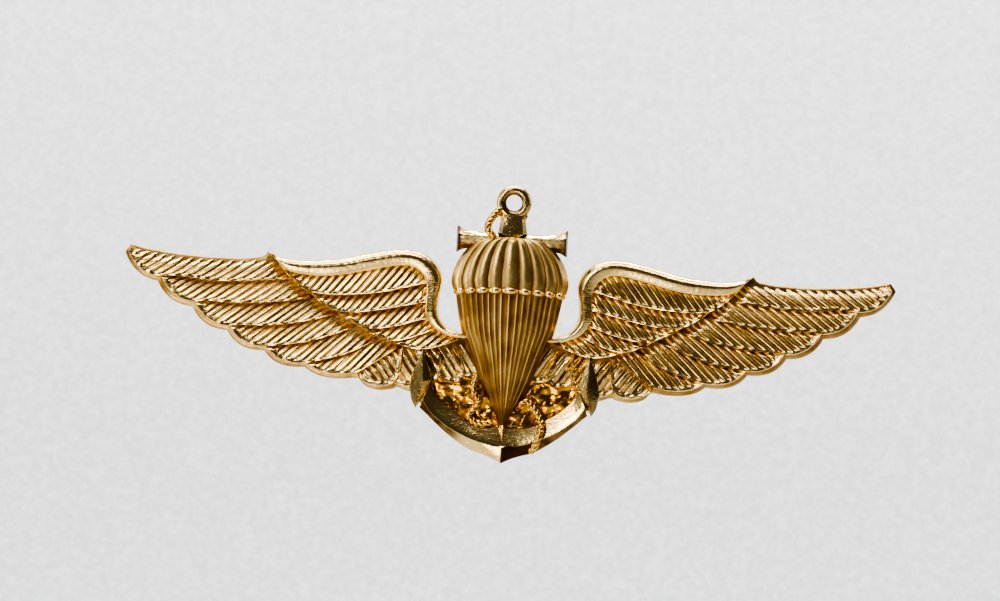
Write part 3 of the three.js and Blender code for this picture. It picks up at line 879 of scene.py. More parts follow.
# %% Arms and crown
ARM_OUT = [(0, -12.4), (0.9, -11.95), (1.9, -11.6), (2.9, -11.3), (3.9, -10.7), (5.0, -9.95), (5.9, -9.2),
           (6.8, -8.4), (7.6, -7.7)]
ARM_RIDGE = [(0, -10.8), (1.5, -10.65), (2.9, -10.25), (3.9, -9.82), (5.0, -9.25), (5.9, -8.6), (6.7, -7.9),
             (7.3, -7.0)]
ARM_IN = [(0, -9.1), (1.5, -9.1), (2.8, -8.85), (3.8, -8.3), (4.8, -7.65), (5.7, -6.95), (6.3, -6.2),
          (6.7, -5.4)]
ARM_STEPS = 70
ARM_SECTION = [("out", 0.0, 0.95), ("out", 0.0, 1.75), ("out", 0.05, 1.95), ("out", 0.5, 2.14),
               ("out", 0.92, 2.31), ("in", 0.0, 2.36), ("in", 0.06, 2.34), ("in", 0.35, 2.14),
               ("in", 0.7, 1.88), ("in", 0.95, 1.7), ("in", 1.0, 1.55), ("in", 1.0, 0.95)]
CORNER_RISE, CORNER_STEPS = 0.28, 7.0


def outer_facet_painted_shade(x, flip):
    """The painted shade of the outer facet: dark on the right, away from the light, and on the left only
    towards the palm.
    """
    return 0.75 * smooth(3.2, 5.0, x) if flip else mix(1.0, 0.7, smooth(2.0, 4.0, x))


def arm(flip):
    """The rings of one arm and their painted shade values, from the crown to the root of its palm."""
    out, ridge, inside = (evenly(spline(line, 200), ARM_STEPS) for line in (ARM_OUT, ARM_RIDGE, ARM_IN))
    rings, values = [], []
    for i in range(ARM_STEPS):
        ring, ring_values = [], []
        for part, t, depth in ARM_SECTION:
            p = out[i].lerp(ridge[i], t) if part == "out" else ridge[i].lerp(inside[i], t)
            corner = 0.0
            if part == "out" and t > 0:
                corner = CORNER_RISE * math.exp(-i / CORNER_STEPS) * (1 - abs(t - 0.5))
            ring.append(at(-p.x if flip else p.x, depth + corner, p.y))
            # Painted shade: the outer facet by its shade function, the inner facet a little darker towards
            # its inner edge.
            ring_values.append(outer_facet_painted_shade(p.x, flip) if part == "out" else 0.25 * t)
        rings.append(ring)
        values.append(ring_values)
    return rings, values


right_arm, right_values = arm(False)
left_arm, left_values = arm(True)
arm_painted_shade = [value for ring in left_values[:0:-1] + right_values for value in ring]
arms = make_piece("anchor_arms", [loft(left_arm[:0:-1] + right_arm)], crease=22, patina_and_shade_values=arm_painted_shade)
settle(arms, "badge", "gold_anchor", anchor_gold, "anchor")

# %% Palms
PALM_RIM = [(7.55, -2.4), (8.05, -3.6), (8.5, -5.0), (8.6, -6.0), (8.35, -7.1), (7.95, -7.75), (7.5, -7.0),
            (7.1, -6.2), (6.6, -5.1), (6.9, -4.0), (7.3, -3.0)]
PALM_RIDGE = [(7.55, -2.7), (7.6, -3.7), (7.5, -5.0), (7.6, -5.6), (7.9, -6.6), (7.95, -7.4), (7.75, -6.9),
              (7.5, -6.0), (7.35, -5.3), (7.45, -4.2), (7.5, -3.2)]
PALM_HEIGHTS = [2.2, 2.42, 2.58, 2.58, 2.42, 2.2, 2.38, 2.56, 2.6, 2.5, 2.3]
# Painted shade: the whole of both palms is darkened evenly.
PALM_SHADE = 0.35


def palm(side):
    """A spade with a ridge down its face and a slanting facet at its foot. side is 1 or -1."""
    levels = []
    for share, height in ((0.0, 1.0), (0.0, 1.95), (0.08, 2.12)):
        levels.append([at(mix(r[0], g[0], share) * side, height, mix(r[1], g[1], share))
                       for r, g in zip(PALM_RIM, PALM_RIDGE)])
    levels.append([at(g[0] * side, height, g[1]) for g, height in zip(PALM_RIDGE, PALM_HEIGHTS)])
    return loft(levels)


palm_bodies = [palm(1), palm(-1)]
palm_painted_shade = [PALM_SHADE] * sum(len(points) for points, _ in palm_bodies)
palms = make_piece("anchor_palms", palm_bodies, crease=18, patina_and_shade_values=palm_painted_shade)
settle(palms, "badge", "gold_anchor", anchor_gold)

# %% [markdown]
# ## The field inside the arms
#
# Between the cone, the feathers and the arms the plate can still be seen. A die is never quite flat there,
# and on polished gold every small hollow turns into a swirl of orange light, so the field gets low lumps
# from a noise pattern. It is one closed slab whose edges hide under its neighbours.

# %% Lumpy field
FIELD_HALF, FIELD_TOP, FIELD_COLUMNS, FIELD_ROWS = 6.6, -3.4, 110, 60
FIELD_FRONT, FIELD_BACK, LUMP = 1.14, 0.8, 0.2


def field_slab():
    """Columns from one palm to the other, each running from the arm up to the feathers."""
    low_edge = spline([(-x, z) for x, z in ARM_IN[::-1]] + ARM_IN[1:], 400)
    rings = []
    for i in range(FIELD_COLUMNS + 1):
        x = mix(-FIELD_HALF, FIELD_HALF, i / FIELD_COLUMNS)
        foot = min(low_edge, key=lambda p: abs(p.x - x)).y - 0.35
        ring = []
        for j in range(FIELD_ROWS + 1):
            z = mix(foot, FIELD_TOP, j / FIELD_ROWS)
            wide_lumps = noise.noise(Vector((x, z * 1.2, 3.0)) * 0.75)
            small_lumps = noise.noise(Vector((x, z, 8.0)) * 1.9)
            ring.append(at(x, FIELD_FRONT + LUMP * (wide_lumps + 0.45 * small_lumps), z))
        rings.append(ring + [at(x, FIELD_BACK, FIELD_TOP), at(x, FIELD_BACK, foot)])
    return loft(rings)


lumpy_field = make_piece("anchor_field", [field_slab()], crease=50)
# Its finish paints the field orange: a painted reflection.
settle(lumpy_field, "badge", "gold_wings", field_gold_painted_glow)

# %% [markdown]
# ## Stock, neck and ring
#
# The stock is a square bar lying across the top, with a bevel along its upper edge that mirrors the light, an
# underside darkened with painted shade, and flared ends cut hollow, darkened with painted shade too. The neck
# is the shank's head, with a broad flat face, and the ring above it is a plain round ring with a hole right
# through, darker towards the hole with painted shade.

# %% Stock
STOCK_BACK, STOCK_MIDDLE = 1.1, 7.72
STOCK_SECTION = [(0.95, STOCK_BACK), (0.97, 1.8), (0.9, 2.0), (0.5, 2.44), (0.42, 2.5), (0.3, 2.5),
                 (-0.5, 2.38), (-0.86, 2.1), (-0.95, 1.85), (-0.93, STOCK_BACK)]
STOCK_STATIONS = [(-4.78, 0.5, 0.55), (-5.02, 1.26, 0.5), (-4.86, 1.2, 0.95), (-4.6, 1.06, 1.0),
                  (-4.3, 0.92, 1.0), (-3.9, 0.82, 1.0), (-3.0, 0.76, 1.0), (0.0, 0.72, 1.0)]
STOCK_END, HOLLOW_END = 4.8, 0.6
END_SHADE, UNDER_SHADE = 1.0, 0.7


def stock():
    """The crossbar, thin in the middle, with flared hollow ends, and its painted shade values, dark at the
    ends and underneath.
    """
    stations = STOCK_STATIONS + [(-x, tall, proud) for x, tall, proud in STOCK_STATIONS[-2::-1]]
    rings, shades = [], []
    for x, tall, proud in stations:
        at_end = abs(x) > STOCK_END or tall < HOLLOW_END
        rings.append([at(x, STOCK_BACK + (depth - STOCK_BACK) * proud, STOCK_MIDDLE + z * tall)
                      for z, depth in STOCK_SECTION])
        # Painted shade: the hollow ends and the underside are darkened.
        shades.extend(max(END_SHADE if at_end else 0.0, UNDER_SHADE if z < 0.3 else 0.0)
                      for z, _ in STOCK_SECTION)
    return loft(rings), shades


# %% Shank and neck
SHANK_SECTION = [(-1.0, 1.02), (-1.0, 1.6), (-0.28, 2.05), (0.0, 2.15), (0.28, 2.05), (1.0, 1.6), (1.0, 1.02)]
SHANK_STATIONS = [(9.0, 1.0, 0.9), (0.0, 1.0, 1.0), (-7.6, 0.8, 1.0), (-9.0, 0.42, 1.1), (-10.1, 0.3, 1.12),
                  (-10.5, 0.25, 1.0)]
NECK_FOOT, NECK_HEAD, NECK_BACK = 8.45, 10.15, 1.15
NECK_STEPS = 8
NECK_FACE = 0.72
NECK_V = 0.75


def shank():
    """The bar behind the parachute, which narrows to a bright ridge above the crown."""
    return loft([[at(x * wide, STOCK_BACK + (depth - STOCK_BACK) * tall, z) for x, depth in SHANK_SECTION]
                 for z, wide, tall in SHANK_STATIONS])


def neck():
    """The head of the shank: a broad flat face between two bevels, with a V at its foot."""
    rings = []
    for t in range(NECK_STEPS + 1):
        f = t / NECK_STEPS
        half_width = mix(1.32, 1.12, math.sin(f * math.pi / 2)) + 0.16 * (f > 0.86)
        height = mix(NECK_FOOT, NECK_HEAD, f)
        front = mix(2.85, 2.3, f)
        bevel = mix(2.1, 1.9, f)
        foot = -NECK_V * (1 - f) ** 2
        rings.append([
            at(-half_width, NECK_BACK, height),
            at(-half_width, bevel, height),
            at(-NECK_FACE * half_width, front - 0.1, height + foot * 0.15),
            at(0.0, front, height + foot),
            at(NECK_FACE * half_width, front - 0.14, height + foot * 0.15),
            at(half_width, bevel, height),
            at(half_width, NECK_BACK, height),
        ])
    return loft(rings)


stock_body, stock_shades = stock()
head_bodies = [stock_body, shank(), neck()]
plain_shades = [0.0] * sum(len(points) for points, _ in head_bodies[1:])
head = make_piece("anchor_head", head_bodies, crease=20, patina_and_shade_values=stock_shades + plain_shades)
settle(head, "badge", "gold_anchor", anchor_gold)

# %% Ring
RING_RADIUS, RING_WIRE, RING_DEPTH, RING_HEIGHT = 1.15, 0.45, 1.75, 11.2
RING_TURNS, RING_SIDES = 64, 20
RING_DEEPER = 1.15


def hoop():
    """A round ring that faces the front, and its painted shade values, darker towards the hole."""
    rings, shades = [], []
    for i in range(RING_TURNS):
        a = 2 * math.pi * i / RING_TURNS
        ring = []
        for j in range(RING_SIDES):
            b = 2 * math.pi * j / RING_SIDES
            reach = RING_RADIUS + RING_WIRE * math.cos(b)
            depth = RING_DEPTH + RING_WIRE * RING_DEEPER * math.sin(b)
            ring.append(at(reach * math.cos(a), depth, RING_HEIGHT + reach * math.sin(a)))
            # Painted shade: darker on the inner side, towards the hole.
            shades.append(0.2 + 0.5 * smooth(0.2, -0.9, math.cos(b)))
        rings.append(ring)
    return loft(rings + [rings[0]], caps=False), shades + shades[:RING_SIDES]


ring_body, ring_shades = hoop()
ring_piece = make_piece("anchor_ring", [ring_body], crease=60, patina_and_shade_values=ring_shades)
settle(ring_piece, "badge", "gold_anchor", anchor_gold)

# %% [markdown]
# ## Rope
#
# The rope is struck as a twist of strands. A round tube would look like wire, so the section is three rounded
# lobes that turn as they travel along the route, and the valleys between them make the slanting lay.

# %% Twisted rope
UPPER_ROPE = [(-1.15, 1.9, 10.6), (-1.6, 2.2, 10.15), (-2.0, 2.5, 9.6), (-2.25, 2.7, 9.05), (-2.2, 2.8, 8.6),
              (-1.85, 2.8, 8.2), (-1.6, 2.5, 7.8)]
LEFT_ROPE = [(-2.45, 1.6, -4.4), (-2.75, 1.75, -5.3), (-2.75, 1.8, -6.1), (-2.25, 1.8, -6.8),
             (-2.6, 1.75, -7.5), (-3.1, 1.7, -8.1), (-2.6, 1.65, -8.7), (-1.7, 1.65, -8.85),
             (-0.9, 1.6, -8.6)]
RIGHT_ROPE = [(1.3, 1.5, -7.2), (1.6, 1.7, -6.8), (2.1, 1.8, -6.65), (2.65, 1.85, -7.2), (3.2, 1.9, -7.95),
              (3.5, 2.1, -8.7), (3.45, 2.55, -9.3), (3.25, 2.6, -9.9), (3.0, 2.4, -10.6), (2.55, 2.1, -11.3)]
ROPE_RADIUS = 0.36
ROPE_PITCH = 1.5
ROPE_SIDES = 24
STRANDS = 3
STEPS_TO_A_POINT = 12
ROPE_CORE = 0.7


def rope(route):
    """A three-strand twist along a route of (across, depth, up) points."""
    centre = evenly(spline([at(*p) / MM for p in route], 200), len(route) * STEPS_TO_A_POINT)
    rings, values = [], []
    travelled = 0.0
    for i, p in enumerate(centre):
        before, after = centre[max(i - 1, 0)], centre[min(i + 1, len(centre) - 1)]
        forward = (after - before).normalized()
        side = forward.cross(Vector((0, 1, 0))).normalized()
        out = side.cross(forward)
        travelled += (p - before).length
        end = min(1.0, 0.35 + min(i, len(centre) - 1 - i) * 0.25)
        ring = []
        for j in range(ROPE_SIDES):
            a = 2 * math.pi * j / ROPE_SIDES
            lobe = abs(math.sin(STRANDS / 2 * a + math.pi * travelled / ROPE_PITCH * STRANDS))
            reach = ROPE_RADIUS * mix(ROPE_CORE, 1.0, lobe ** 0.6) * end
            ring.append((p + (side * math.cos(a) + out * math.sin(a)) * reach) * MM)
            # Patina and painted shade: darker in the valleys between the strands.
            values.append(0.9 * (1 - lobe) ** 1.5)
        rings.append(ring)
    return loft(rings), values


for name, route in (("upper", UPPER_ROPE), ("left", LEFT_ROPE), ("right", RIGHT_ROPE)):
    body, values = rope(route)
    piece = make_piece(f"{name}_rope_twist", [body], crease=60, patina_and_shade_values=values)
    settle(piece, "badge", "gold_rope", rope_gold, f"{name}_rope")

# %% [markdown]
# ## Nails
#
# Each nail is headed like a tack: a thin disc soldered flat to the back, a fillet of solder, a smooth
# shaft, a rounded groove that the clutch grips, and a short cone to go through the cloth. All of it is
# turned about the nail's axis from one profile, and every corner in the profile is a small curve.

# %% Turned pieces
CLUTCH_SIDES, NAIL_SIDES = 96, 48


def turned(profile, x, start, steps=CLUTCH_SIDES):
    """Rings of a body turned about a line along Y. The profile is (radius, distance behind start)."""
    rings = []
    for radius, back in profile:
        ring = []
        for i in range(steps):
            a = 2 * math.pi * i / steps
            ring.append(Vector((x + radius * math.cos(a), start + back, radius * math.sin(a))) * MM)
        rings.append(ring)
    return rings


POST_X = 13.0
SIDES = (("left", -POST_X), ("right", POST_X))
FINE_WELD = 0.0005
NAIL = [(0.001, 0.0), (2.32, 0.0), (2.4, 0.05), (2.38, 0.16), (2.2, 0.36), (2.1, 0.4), (0.95, 0.4),
        (0.72, 0.46), (0.58, 0.58), (0.5, 0.75), (0.5, 4.0), (0.49, 4.1), (0.42, 4.25), (0.37, 4.4),
        (0.36, 4.55), (0.39, 4.72), (0.46, 4.86), (0.5, 4.95), (0.5, 5.35), (0.48, 5.45), (0.3, 5.95),
        (0.1, 6.34), (0.05, 6.39), (0.001, 6.4)]
for side, x in SIDES:
    piece = make_piece(f"{side}_nail", [loft(turned(NAIL, x, 0.0, NAIL_SIDES))], crease=35, weld=FINE_WELD)
    settle(piece, "badge", "brass_nail", nail_brass, f"{side}_post")

# %% [markdown]
# ## Clutches
#
# A pinch clutch is stamped from thin brass: a round base with a rolled rim and a hole in the middle, a domed
# cap crimped to it with a slot on each side, and a spring whose two ears stand out through the slots. The
# sheet is the same thickness everywhere, so base and cap are turned from closed profiles that run down one
# face of the sheet and back along the other. The rolled rim and a pressed step catch the light.

# %% Base and cap profiles
CLOTH_GAP = 1.8
BASE = [(0.75, 0.05), (0.8, 0.0), (3.0, 0.0), (4.6, 0.0), (5.15, 0.02), (5.4, 0.14), (5.5, 0.36),
        (5.48, 0.62), (5.36, 0.82), (5.2, 0.9), (5.0, 0.86), (4.92, 0.74), (4.98, 0.6), (5.02, 0.5),
        (4.9, 0.42), (4.6, 0.4), (4.2, 0.4), (4.1, 0.46), (3.95, 0.46), (3.85, 0.4), (0.8, 0.4), (0.75, 0.35)]
CAP_OUTER, CAP_SHEET, CAP_FOOT, CAP_WAIST, CAP_WALL, CAP_TOP = 3.7, 0.35, 0.4, 2.0, 3.7, 6.3
CAP_FLANGE = [(0.3, 0.0), (0.32, 0.1), (0.26, 0.2), (0.08, 0.27), (0.0, 0.4)]
DOME_STEPS = 16


def base_body(x):
    """The stamped disc as a ring of the closed sheet profile."""
    rings = turned(BASE, x, CLOTH_GAP)
    return loft(rings + [rings[0]], caps=False)


def dome_line(radius, top):
    """The cap's rounded top, from the wall to the middle."""
    made = []
    for i in range(DOME_STEPS + 1):
        a = i / DOME_STEPS * math.pi / 2
        made.append((max(radius * math.cos(a), 0.001), CAP_WALL + (top - CAP_WALL) * math.sin(a)))
    return made


def cap_body(x):
    """The domed cover as a closed sheet, before its slots are cut."""
    inner = CAP_OUTER - CAP_SHEET
    outside = [(CAP_OUTER + out, CAP_FOOT + up) for out, up in CAP_FLANGE] + [(CAP_OUTER, CAP_WAIST)]
    inside = [(inner, CAP_WAIST), (inner, CAP_FOOT + 0.05), (inner + 0.05, CAP_FOOT)]
    profile = outside + dome_line(CAP_OUTER, CAP_TOP) + dome_line(inner, CAP_TOP - CAP_SHEET)[::-1] + inside
    rings = turned(profile, x, CLOTH_GAP)
    return loft(rings + [rings[0]], caps=False)


# %% [markdown]
# The slots are cut with Blender's own boolean, because the cap is a thin closed sheet and the cutter is a
# plain block: an exact boolean is both the shortest way and the cleanest one here. The finished mesh is taken
# with the modifier's result in it, and the cutter is deleted.

# %% Cap with slots
SLOT_LOW, SLOT_HIGH, SLOT_HALF, SLOT_REACH = 0.95, 3.5, 2.0, 6
CUT_CREASE = 35


def block(name, low, high):
    """A plain block between two corners, in millimetres."""
    corners = [Vector((x, y, z)) * MM
               for x in (low[0], high[0]) for y in (low[1], high[1]) for z in (low[2], high[2])]
    faces = [(0, 1, 3, 2), (4, 6, 7, 5), (0, 4, 5, 1), (2, 3, 7, 6), (0, 2, 6, 4), (1, 5, 7, 3)]
    mesh = bpy.data.meshes.new(name)
    mesh.from_pydata([tuple(c) for c in corners], [], faces)
    made = bpy.data.objects.new(name, mesh)
    bpy.context.scene.collection.objects.link(made)
    return made


def slotted_cap(name, x):
    """The cap with one straight slot cut through both sides."""
    cap = make_piece(name, [cap_body(x)], crease=CUT_CREASE, weld=FINE_WELD)
    cutter = block("slot_cutter", (x - SLOT_REACH, CLOTH_GAP + SLOT_LOW, -SLOT_HALF),
                   (x + SLOT_REACH, CLOTH_GAP + SLOT_HIGH, SLOT_HALF))
    cut_slots = cap.modifiers.new("slots", "BOOLEAN")
    cut_slots.operation = "DIFFERENCE"
    cut_slots.solver = "EXACT"
    cut_slots.object = cutter
    depsgraph = bpy.context.evaluated_depsgraph_get()
    finished = bpy.data.meshes.new_from_object(cap.evaluated_get(depsgraph))
    cap.modifiers.clear()
    cap.data = finished
    bpy.data.objects.remove(cutter)
    finished.set_sharp_from_angle(angle=math.radians(CUT_CREASE))
    print(f"{name} with its slots: {len(finished.polygons)} faces")
    return cap


# %% [markdown]
# ## Spring leaves
#
# Each leaf is a bent strip. Inside the cap it is flat, with a long hole round the nail; outside it turns up
# into an ear with a rounded end and a gentle curl, which is where the fingers squeeze. The strip is drawn as
# a line with width and thickness. Round the hole the points keep off the nail, and the faces between them are
# left out and bridged to the other side of the strip.

# %% Line and width of a leaf
LEAF_HALF, LEAF_SHEET, TONGUE, EAR_ROOT, EAR_TIP, EAR_TOP = 1.7, 0.35, -1.7, 4.3, 6.3, 5.2
HOLE_HALF_LONG, HOLE_HALF_WIDE = 1.05, 0.7
EAR_CURVE, TONGUE_CURVE = 1.1, 0.4
WAIST_PLACE, WAIST_DEPTH = 6.2, 0.12


def leaf_line(height):
    """The leaf's middle line from the tongue to the end of the ear, as (outwards, back) points."""
    bend = [(EAR_ROOT - 0.9, height), (EAR_ROOT - 0.35, height + 0.02), (EAR_ROOT + 0.05, height + 0.22),
            (EAR_ROOT + 0.35, height + 0.7),
            (mix(EAR_ROOT, EAR_TIP, 0.62), mix(height, EAR_TOP, 0.6)),
            (EAR_TIP - 0.15, EAR_TOP - 0.15), (EAR_TIP + 0.12, EAR_TOP + 0.1)]
    return [Vector((x, height)) for x in (TONGUE, -HOLE_HALF_LONG)] + spline(bend, 26)


def leaf_outline_half(s, total):
    """Half the strip's width s along it: rounded at the tongue and at the ear."""
    ear_round = math.sqrt(max(0.0, 1 - max(0.0, (s - (total - EAR_CURVE)) / EAR_CURVE) ** 2))
    tongue_round = math.sqrt(max(0.0, 1 - max(0.0, (TONGUE_CURVE - s) / TONGUE_CURVE) ** 2))
    waist = 1 - WAIST_DEPTH * math.exp(-((s - WAIST_PLACE) / 0.6) ** 2)
    return LEAF_HALF * mix(0.35, 1.0, ear_round) * mix(0.75, 1.0, tongue_round) * waist


# %% Points of a leaf
LEAF_STEPS, LEAF_COLUMNS = 90, 13


def width_place(v, p, half_width):
    """How far across the strip a column lies. v runs from -1 to 1, and columns keep off the hole."""
    inside = 1 - (p.x / HOLE_HALF_LONG) ** 2
    if inside <= 0 or abs(v) >= 0.999:
        return v * half_width
    edge = HOLE_HALF_WIDE * math.sqrt(inside)
    return math.copysign(mix(edge, half_width, abs(v)), v) if v else edge


def leaf(name, x, height, outward):
    """One leaf. outward is 1 when its ear points to +X and -1 when it points to -X."""
    line = evenly(leaf_line(height), LEAF_STEPS)
    total = sum((q - p).length for p, q in zip(line, line[1:]))
    top, bottom = [], []
    travelled = 0.0
    for i, p in enumerate(line):
        before, after = line[max(i - 1, 0)], line[min(i + 1, len(line) - 1)]
        travelled += (p - before).length
        along = (after - before).normalized()
        normal = Vector((-along.y, along.x)) * (LEAF_SHEET / 2)
        half_width = leaf_outline_half(travelled, total)
        for side, rows in ((1, top), (-1, bottom)):
            spot = p + normal * side
            back = CLOTH_GAP + spot.y + LEAF_SHEET / 2
            rows.append([Vector((x + outward * spot.x, back, width_place(v, p, half_width))) * MM
                         for v in (mix(-1, 1, j / (LEAF_COLUMNS - 1)) for j in range(LEAF_COLUMNS))])
    return leaf_mesh(name, top, bottom, [p.x for p in line])


# %% Skin of a leaf
def leaf_mesh(name, top, bottom, places):
    """Skins the two faces of a leaf, its rim and the walls of its hole."""
    columns = len(top[0])
    middle = columns // 2
    shape = bmesh.new()
    upper = [[shape.verts.new(p) for p in row] for row in top]
    lower = [[shape.verts.new(p) for p in row] for row in bottom]
    in_hole = [abs(p) < HOLE_HALF_LONG for p in places]
    for rows in (upper, lower):
        for i in range(len(rows) - 1):
            for j in range(columns - 1):
                over_hole = (in_hole[i] or in_hole[i + 1]) and j in (middle - 1, middle)
                if not over_hole:
                    shape.faces.new((rows[i][j], rows[i + 1][j], rows[i + 1][j + 1], rows[i][j + 1]))
    border = [e for e in shape.edges if e.is_boundary]
    pairs = {a: b for row_up, row_down in zip(upper, lower) for a, b in zip(row_up, row_down)}
    for e in border:
        a, b = e.verts
        if a in pairs and b in pairs:
            shape.faces.new((a, b, pairs[b], pairs[a]))
    loose = [v for v in shape.verts if not v.link_faces]
    bmesh.ops.delete(shape, geom=loose, context="VERTS")
    bmesh.ops.recalc_face_normals(shape, faces=shape.faces)
    mesh = bpy.data.meshes.new(name)
    shape.to_mesh(mesh)
    shape.free()
    mesh.shade_smooth()
    mesh.set_sharp_from_angle(angle=math.radians(CUT_CREASE))
    mesh.attributes.new("patina_and_shade", "FLOAT", "POINT").data.foreach_set("value", [0.0] * len(mesh.vertices))
    piece = bpy.data.objects.new(name, mesh)
    bpy.context.scene.collection.objects.link(piece)
    print(f"{name}: {len(mesh.polygons)} faces")
    return piece


# %% Both clutches
LOWER_LEAF, UPPER_LEAF = 1.3, 2.3
for side, x in SIDES:
    clutch_base = make_piece(f"{side}_clutch_disc", [base_body(x)], crease=35, weld=FINE_WELD)
    settle(clutch_base, f"{side}_clutch", "brass_clutch", clutch_brass, f"{side}_clutch_base")
    clutch_cap = slotted_cap(f"{side}_clutch_dome", x)
    clutch_cap.data.materials.clear()
    settle(clutch_cap, f"{side}_clutch", "brass_clutch", clutch_brass, f"{side}_clutch_cap")
    for ear, height, outward in (("right", LOWER_LEAF, 1), ("left", UPPER_LEAF, -1)):
        strip = leaf(f"{side}_clutch_{ear}_spring", x, height, outward)
        settle(strip, f"{side}_clutch_{ear}_ear", "brass_spring", spring_brass, f"{side}_clutch_{ear}_leaf")

# %% [markdown]
# ## Floor and backdrop
#
# A plain pale sweep: a wide flat floor that curves up into a wall behind the badge, well away from it. The
# badge is held upright, high above the floor, so that its own shadow falls out of sight. To the sides and in
# front the floor runs flat and far, and beyond it the pale room is seen.

# %% Sweep
FLOOR_LEVEL = -0.42
SWEEP_RADIUS = 1.1
BEND = 0.35
WALL = 1.6
FRONT_REACH = 4.0
SWEEP_STEPS, BEND_STEPS = 96, 12
WALL_STARTS, WALL_FULL = 0.15, 0.6


def sweep_profile():
    """Distance from the middle and height, along the floor, round the bend and up the wall."""
    made = [(0.001, 0.0), (0.2, 0.0), (0.45, 0.0), (SWEEP_RADIUS - BEND, 0.0)]
    for i in range(1, BEND_STEPS + 1):
        a = i / BEND_STEPS * math.pi / 2
        made.append((SWEEP_RADIUS - BEND + BEND * math.sin(a), BEND - BEND * math.cos(a)))
    return made + [(SWEEP_RADIUS, WALL)]


def sweep():
    """A round floor whose edge rises into a wall only behind the badge."""
    points, faces = [], []
    profile = sweep_profile()
    for i in range(SWEEP_STEPS + 1):
        a = 2 * math.pi * i / SWEEP_STEPS
        away = smooth(WALL_STARTS, WALL_FULL, math.sin(a))
        spread_out = mix(FRONT_REACH, 1.0, away)
        for radius, height in profile:
            reach = radius * spread_out
            points.append((reach * math.cos(a), reach * math.sin(a), FLOOR_LEVEL + height * away))
    size = len(profile)
    for i in range(SWEEP_STEPS):
        for j in range(size - 1):
            a = i * size + j
            faces.append((a, a + 1, a + size + 1, a + size))
    mesh = bpy.data.meshes.new("pale_sweep")
    mesh.from_pydata(points, [], faces)
    mesh.shade_smooth()
    made = bpy.data.objects.new("pale_sweep", mesh)
    bpy.context.scene.collection.objects.link(made)
    return made


def pale_surface():
    """A matt off-white with a very faint mottle."""
    material = bpy.data.materials.new("pale_board")
    material.use_nodes = True
    tree = material.node_tree
    shader = tree.nodes["Principled BSDF"]
    shader.inputs["Roughness"].default_value = 0.9
    place = tree.nodes.new("ShaderNodeTexCoord")
    ramp = tree.nodes.new("ShaderNodeValToRGB")
    darker, lighter = ramp.color_ramp.elements
    darker.position, darker.color = 0.35, (0.70, 0.70, 0.71, 1)
    lighter.position, lighter.color = 0.75, (0.86, 0.86, 0.87, 1)
    tree.links.new(cloud(tree, place.outputs["Object"], 330, 4), ramp.inputs["Fac"])
    tree.links.new(ramp.outputs["Color"], shader.inputs["Base Color"])
    return material


floor = sweep()
floor.data.materials.append(pale_surface())
print("floor at", FLOOR_LEVEL)

# %% [markdown]
# ## Light
#
# Polished metal is lit by what it mirrors. A big soft box high on the left gives the cream highlights, and a
# low one brightens the left side of the anchor's crown. Narrow boxes at both sides and a wide one overhead
# draw the edges, and one box lights only the wall. A light is given by the glow of its face, because that is
# what a mirror shows, whatever the size of the box.

# %% Soft boxes
def soft_box(name, place, aim, width, height, glow, tint=(1, 1, 1)):
    """A rectangular light at place, facing aim. glow is how bright its own face looks in a mirror."""
    light = bpy.data.lights.new(name, "AREA")
    light.shape = "RECTANGLE"
    light.size = width
    light.size_y = height
    light.energy = glow * math.pi * width * height
    light.color = tint
    made = bpy.data.objects.new(name, light)
    bpy.context.scene.collection.objects.link(made)
    made.location = place
    made.rotation_euler = (Vector(aim) - Vector(place)).to_track_quat("-Z", "Y").to_euler()
    made.visible_camera = False
    return made


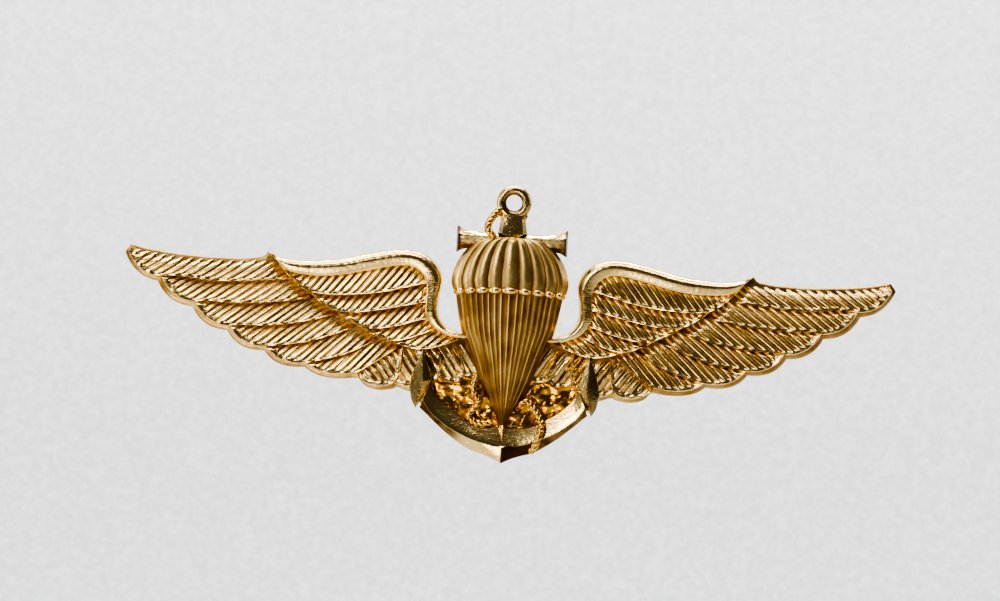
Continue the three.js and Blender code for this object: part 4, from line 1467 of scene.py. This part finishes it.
soft_box("key_box", (-0.27, -0.46, 0.27), (0, 0, 0), 0.28, 0.28, 3.6, (1.0, 0.97, 0.94))
soft_box("low_left_box", (-0.17, -0.45, -0.22), (0, 0, 0), 0.30, 0.16, 3.2, (1.0, 0.95, 0.80))
soft_box("left_box", (-0.56, -0.10, 0.02), (0, 0, 0), 0.12, 0.4, 3.5)
soft_box("top_box", (-0.05, -0.16, 0.60), (0, 0, 0), 0.6, 0.22, 3.5)
soft_box("right_box", (0.60, 0.02, 0.20), (0, 0, 0), 0.12, 0.3, 1.6, (1.0, 0.97, 0.92))
soft_box("wall_box", (0, 0.35, 0.75), (0, 1.1, 0), 0.8, 0.4, 10.4)
print("lights:", len(bpy.data.lights))

# %% [markdown]
# The room in front of the badge stays dim, so that the flat gold reads brown, and it grows paler towards the
# back, the left and the top. That dim room would also show beyond the floor's edge in a view from behind, so
# a direct look finds a plain pale backdrop instead: the light path node tells a direct look from a
# reflection. The contrast of the view transform is high, as on polished metal under a hard light.

# %% Room
world = bpy.data.worlds.new("room")
bpy.context.scene.world = world
world.use_nodes = True
sky = world.node_tree
sky.nodes.clear()
direction = sky.nodes.new("ShaderNodeTexCoord")
towards = sky.nodes.new("ShaderNodeVectorMath")
towards.operation = "DOT_PRODUCT"
towards.inputs[1].default_value = (-0.30, 0.80, 0.50)
paler = spread(sky, towards.outputs["Value"], -0.35, 0.65, 0.075, 0.75)
background = sky.nodes.new("ShaderNodeBackground")
background.inputs["Color"].default_value = (1.0, 0.985, 0.96, 1)
sky_output = sky.nodes.new("ShaderNodeOutputWorld")
sky.links.new(direction.outputs["Generated"], towards.inputs[0])
sky.links.new(paler, background.inputs["Strength"])
backdrop = sky.nodes.new("ShaderNodeBackground")
backdrop.inputs["Color"].default_value = (0.93, 0.93, 0.94, 1)
backdrop.inputs["Strength"].default_value = 0.62
sight = sky.nodes.new("ShaderNodeLightPath")
seen = sky.nodes.new("ShaderNodeMixShader")
sky.links.new(sight.outputs["Is Camera Ray"], seen.inputs["Fac"])
sky.links.new(background.outputs["Background"], seen.inputs[1])
sky.links.new(backdrop.outputs["Background"], seen.inputs[2])
sky.links.new(seen.outputs["Shader"], sky_output.inputs["Surface"])
view = bpy.context.scene.view_settings
view.view_transform = "AgX"
view.look = "AgX - Very High Contrast"
view.exposure = 0.12
print("view:", view.view_transform, view.look)
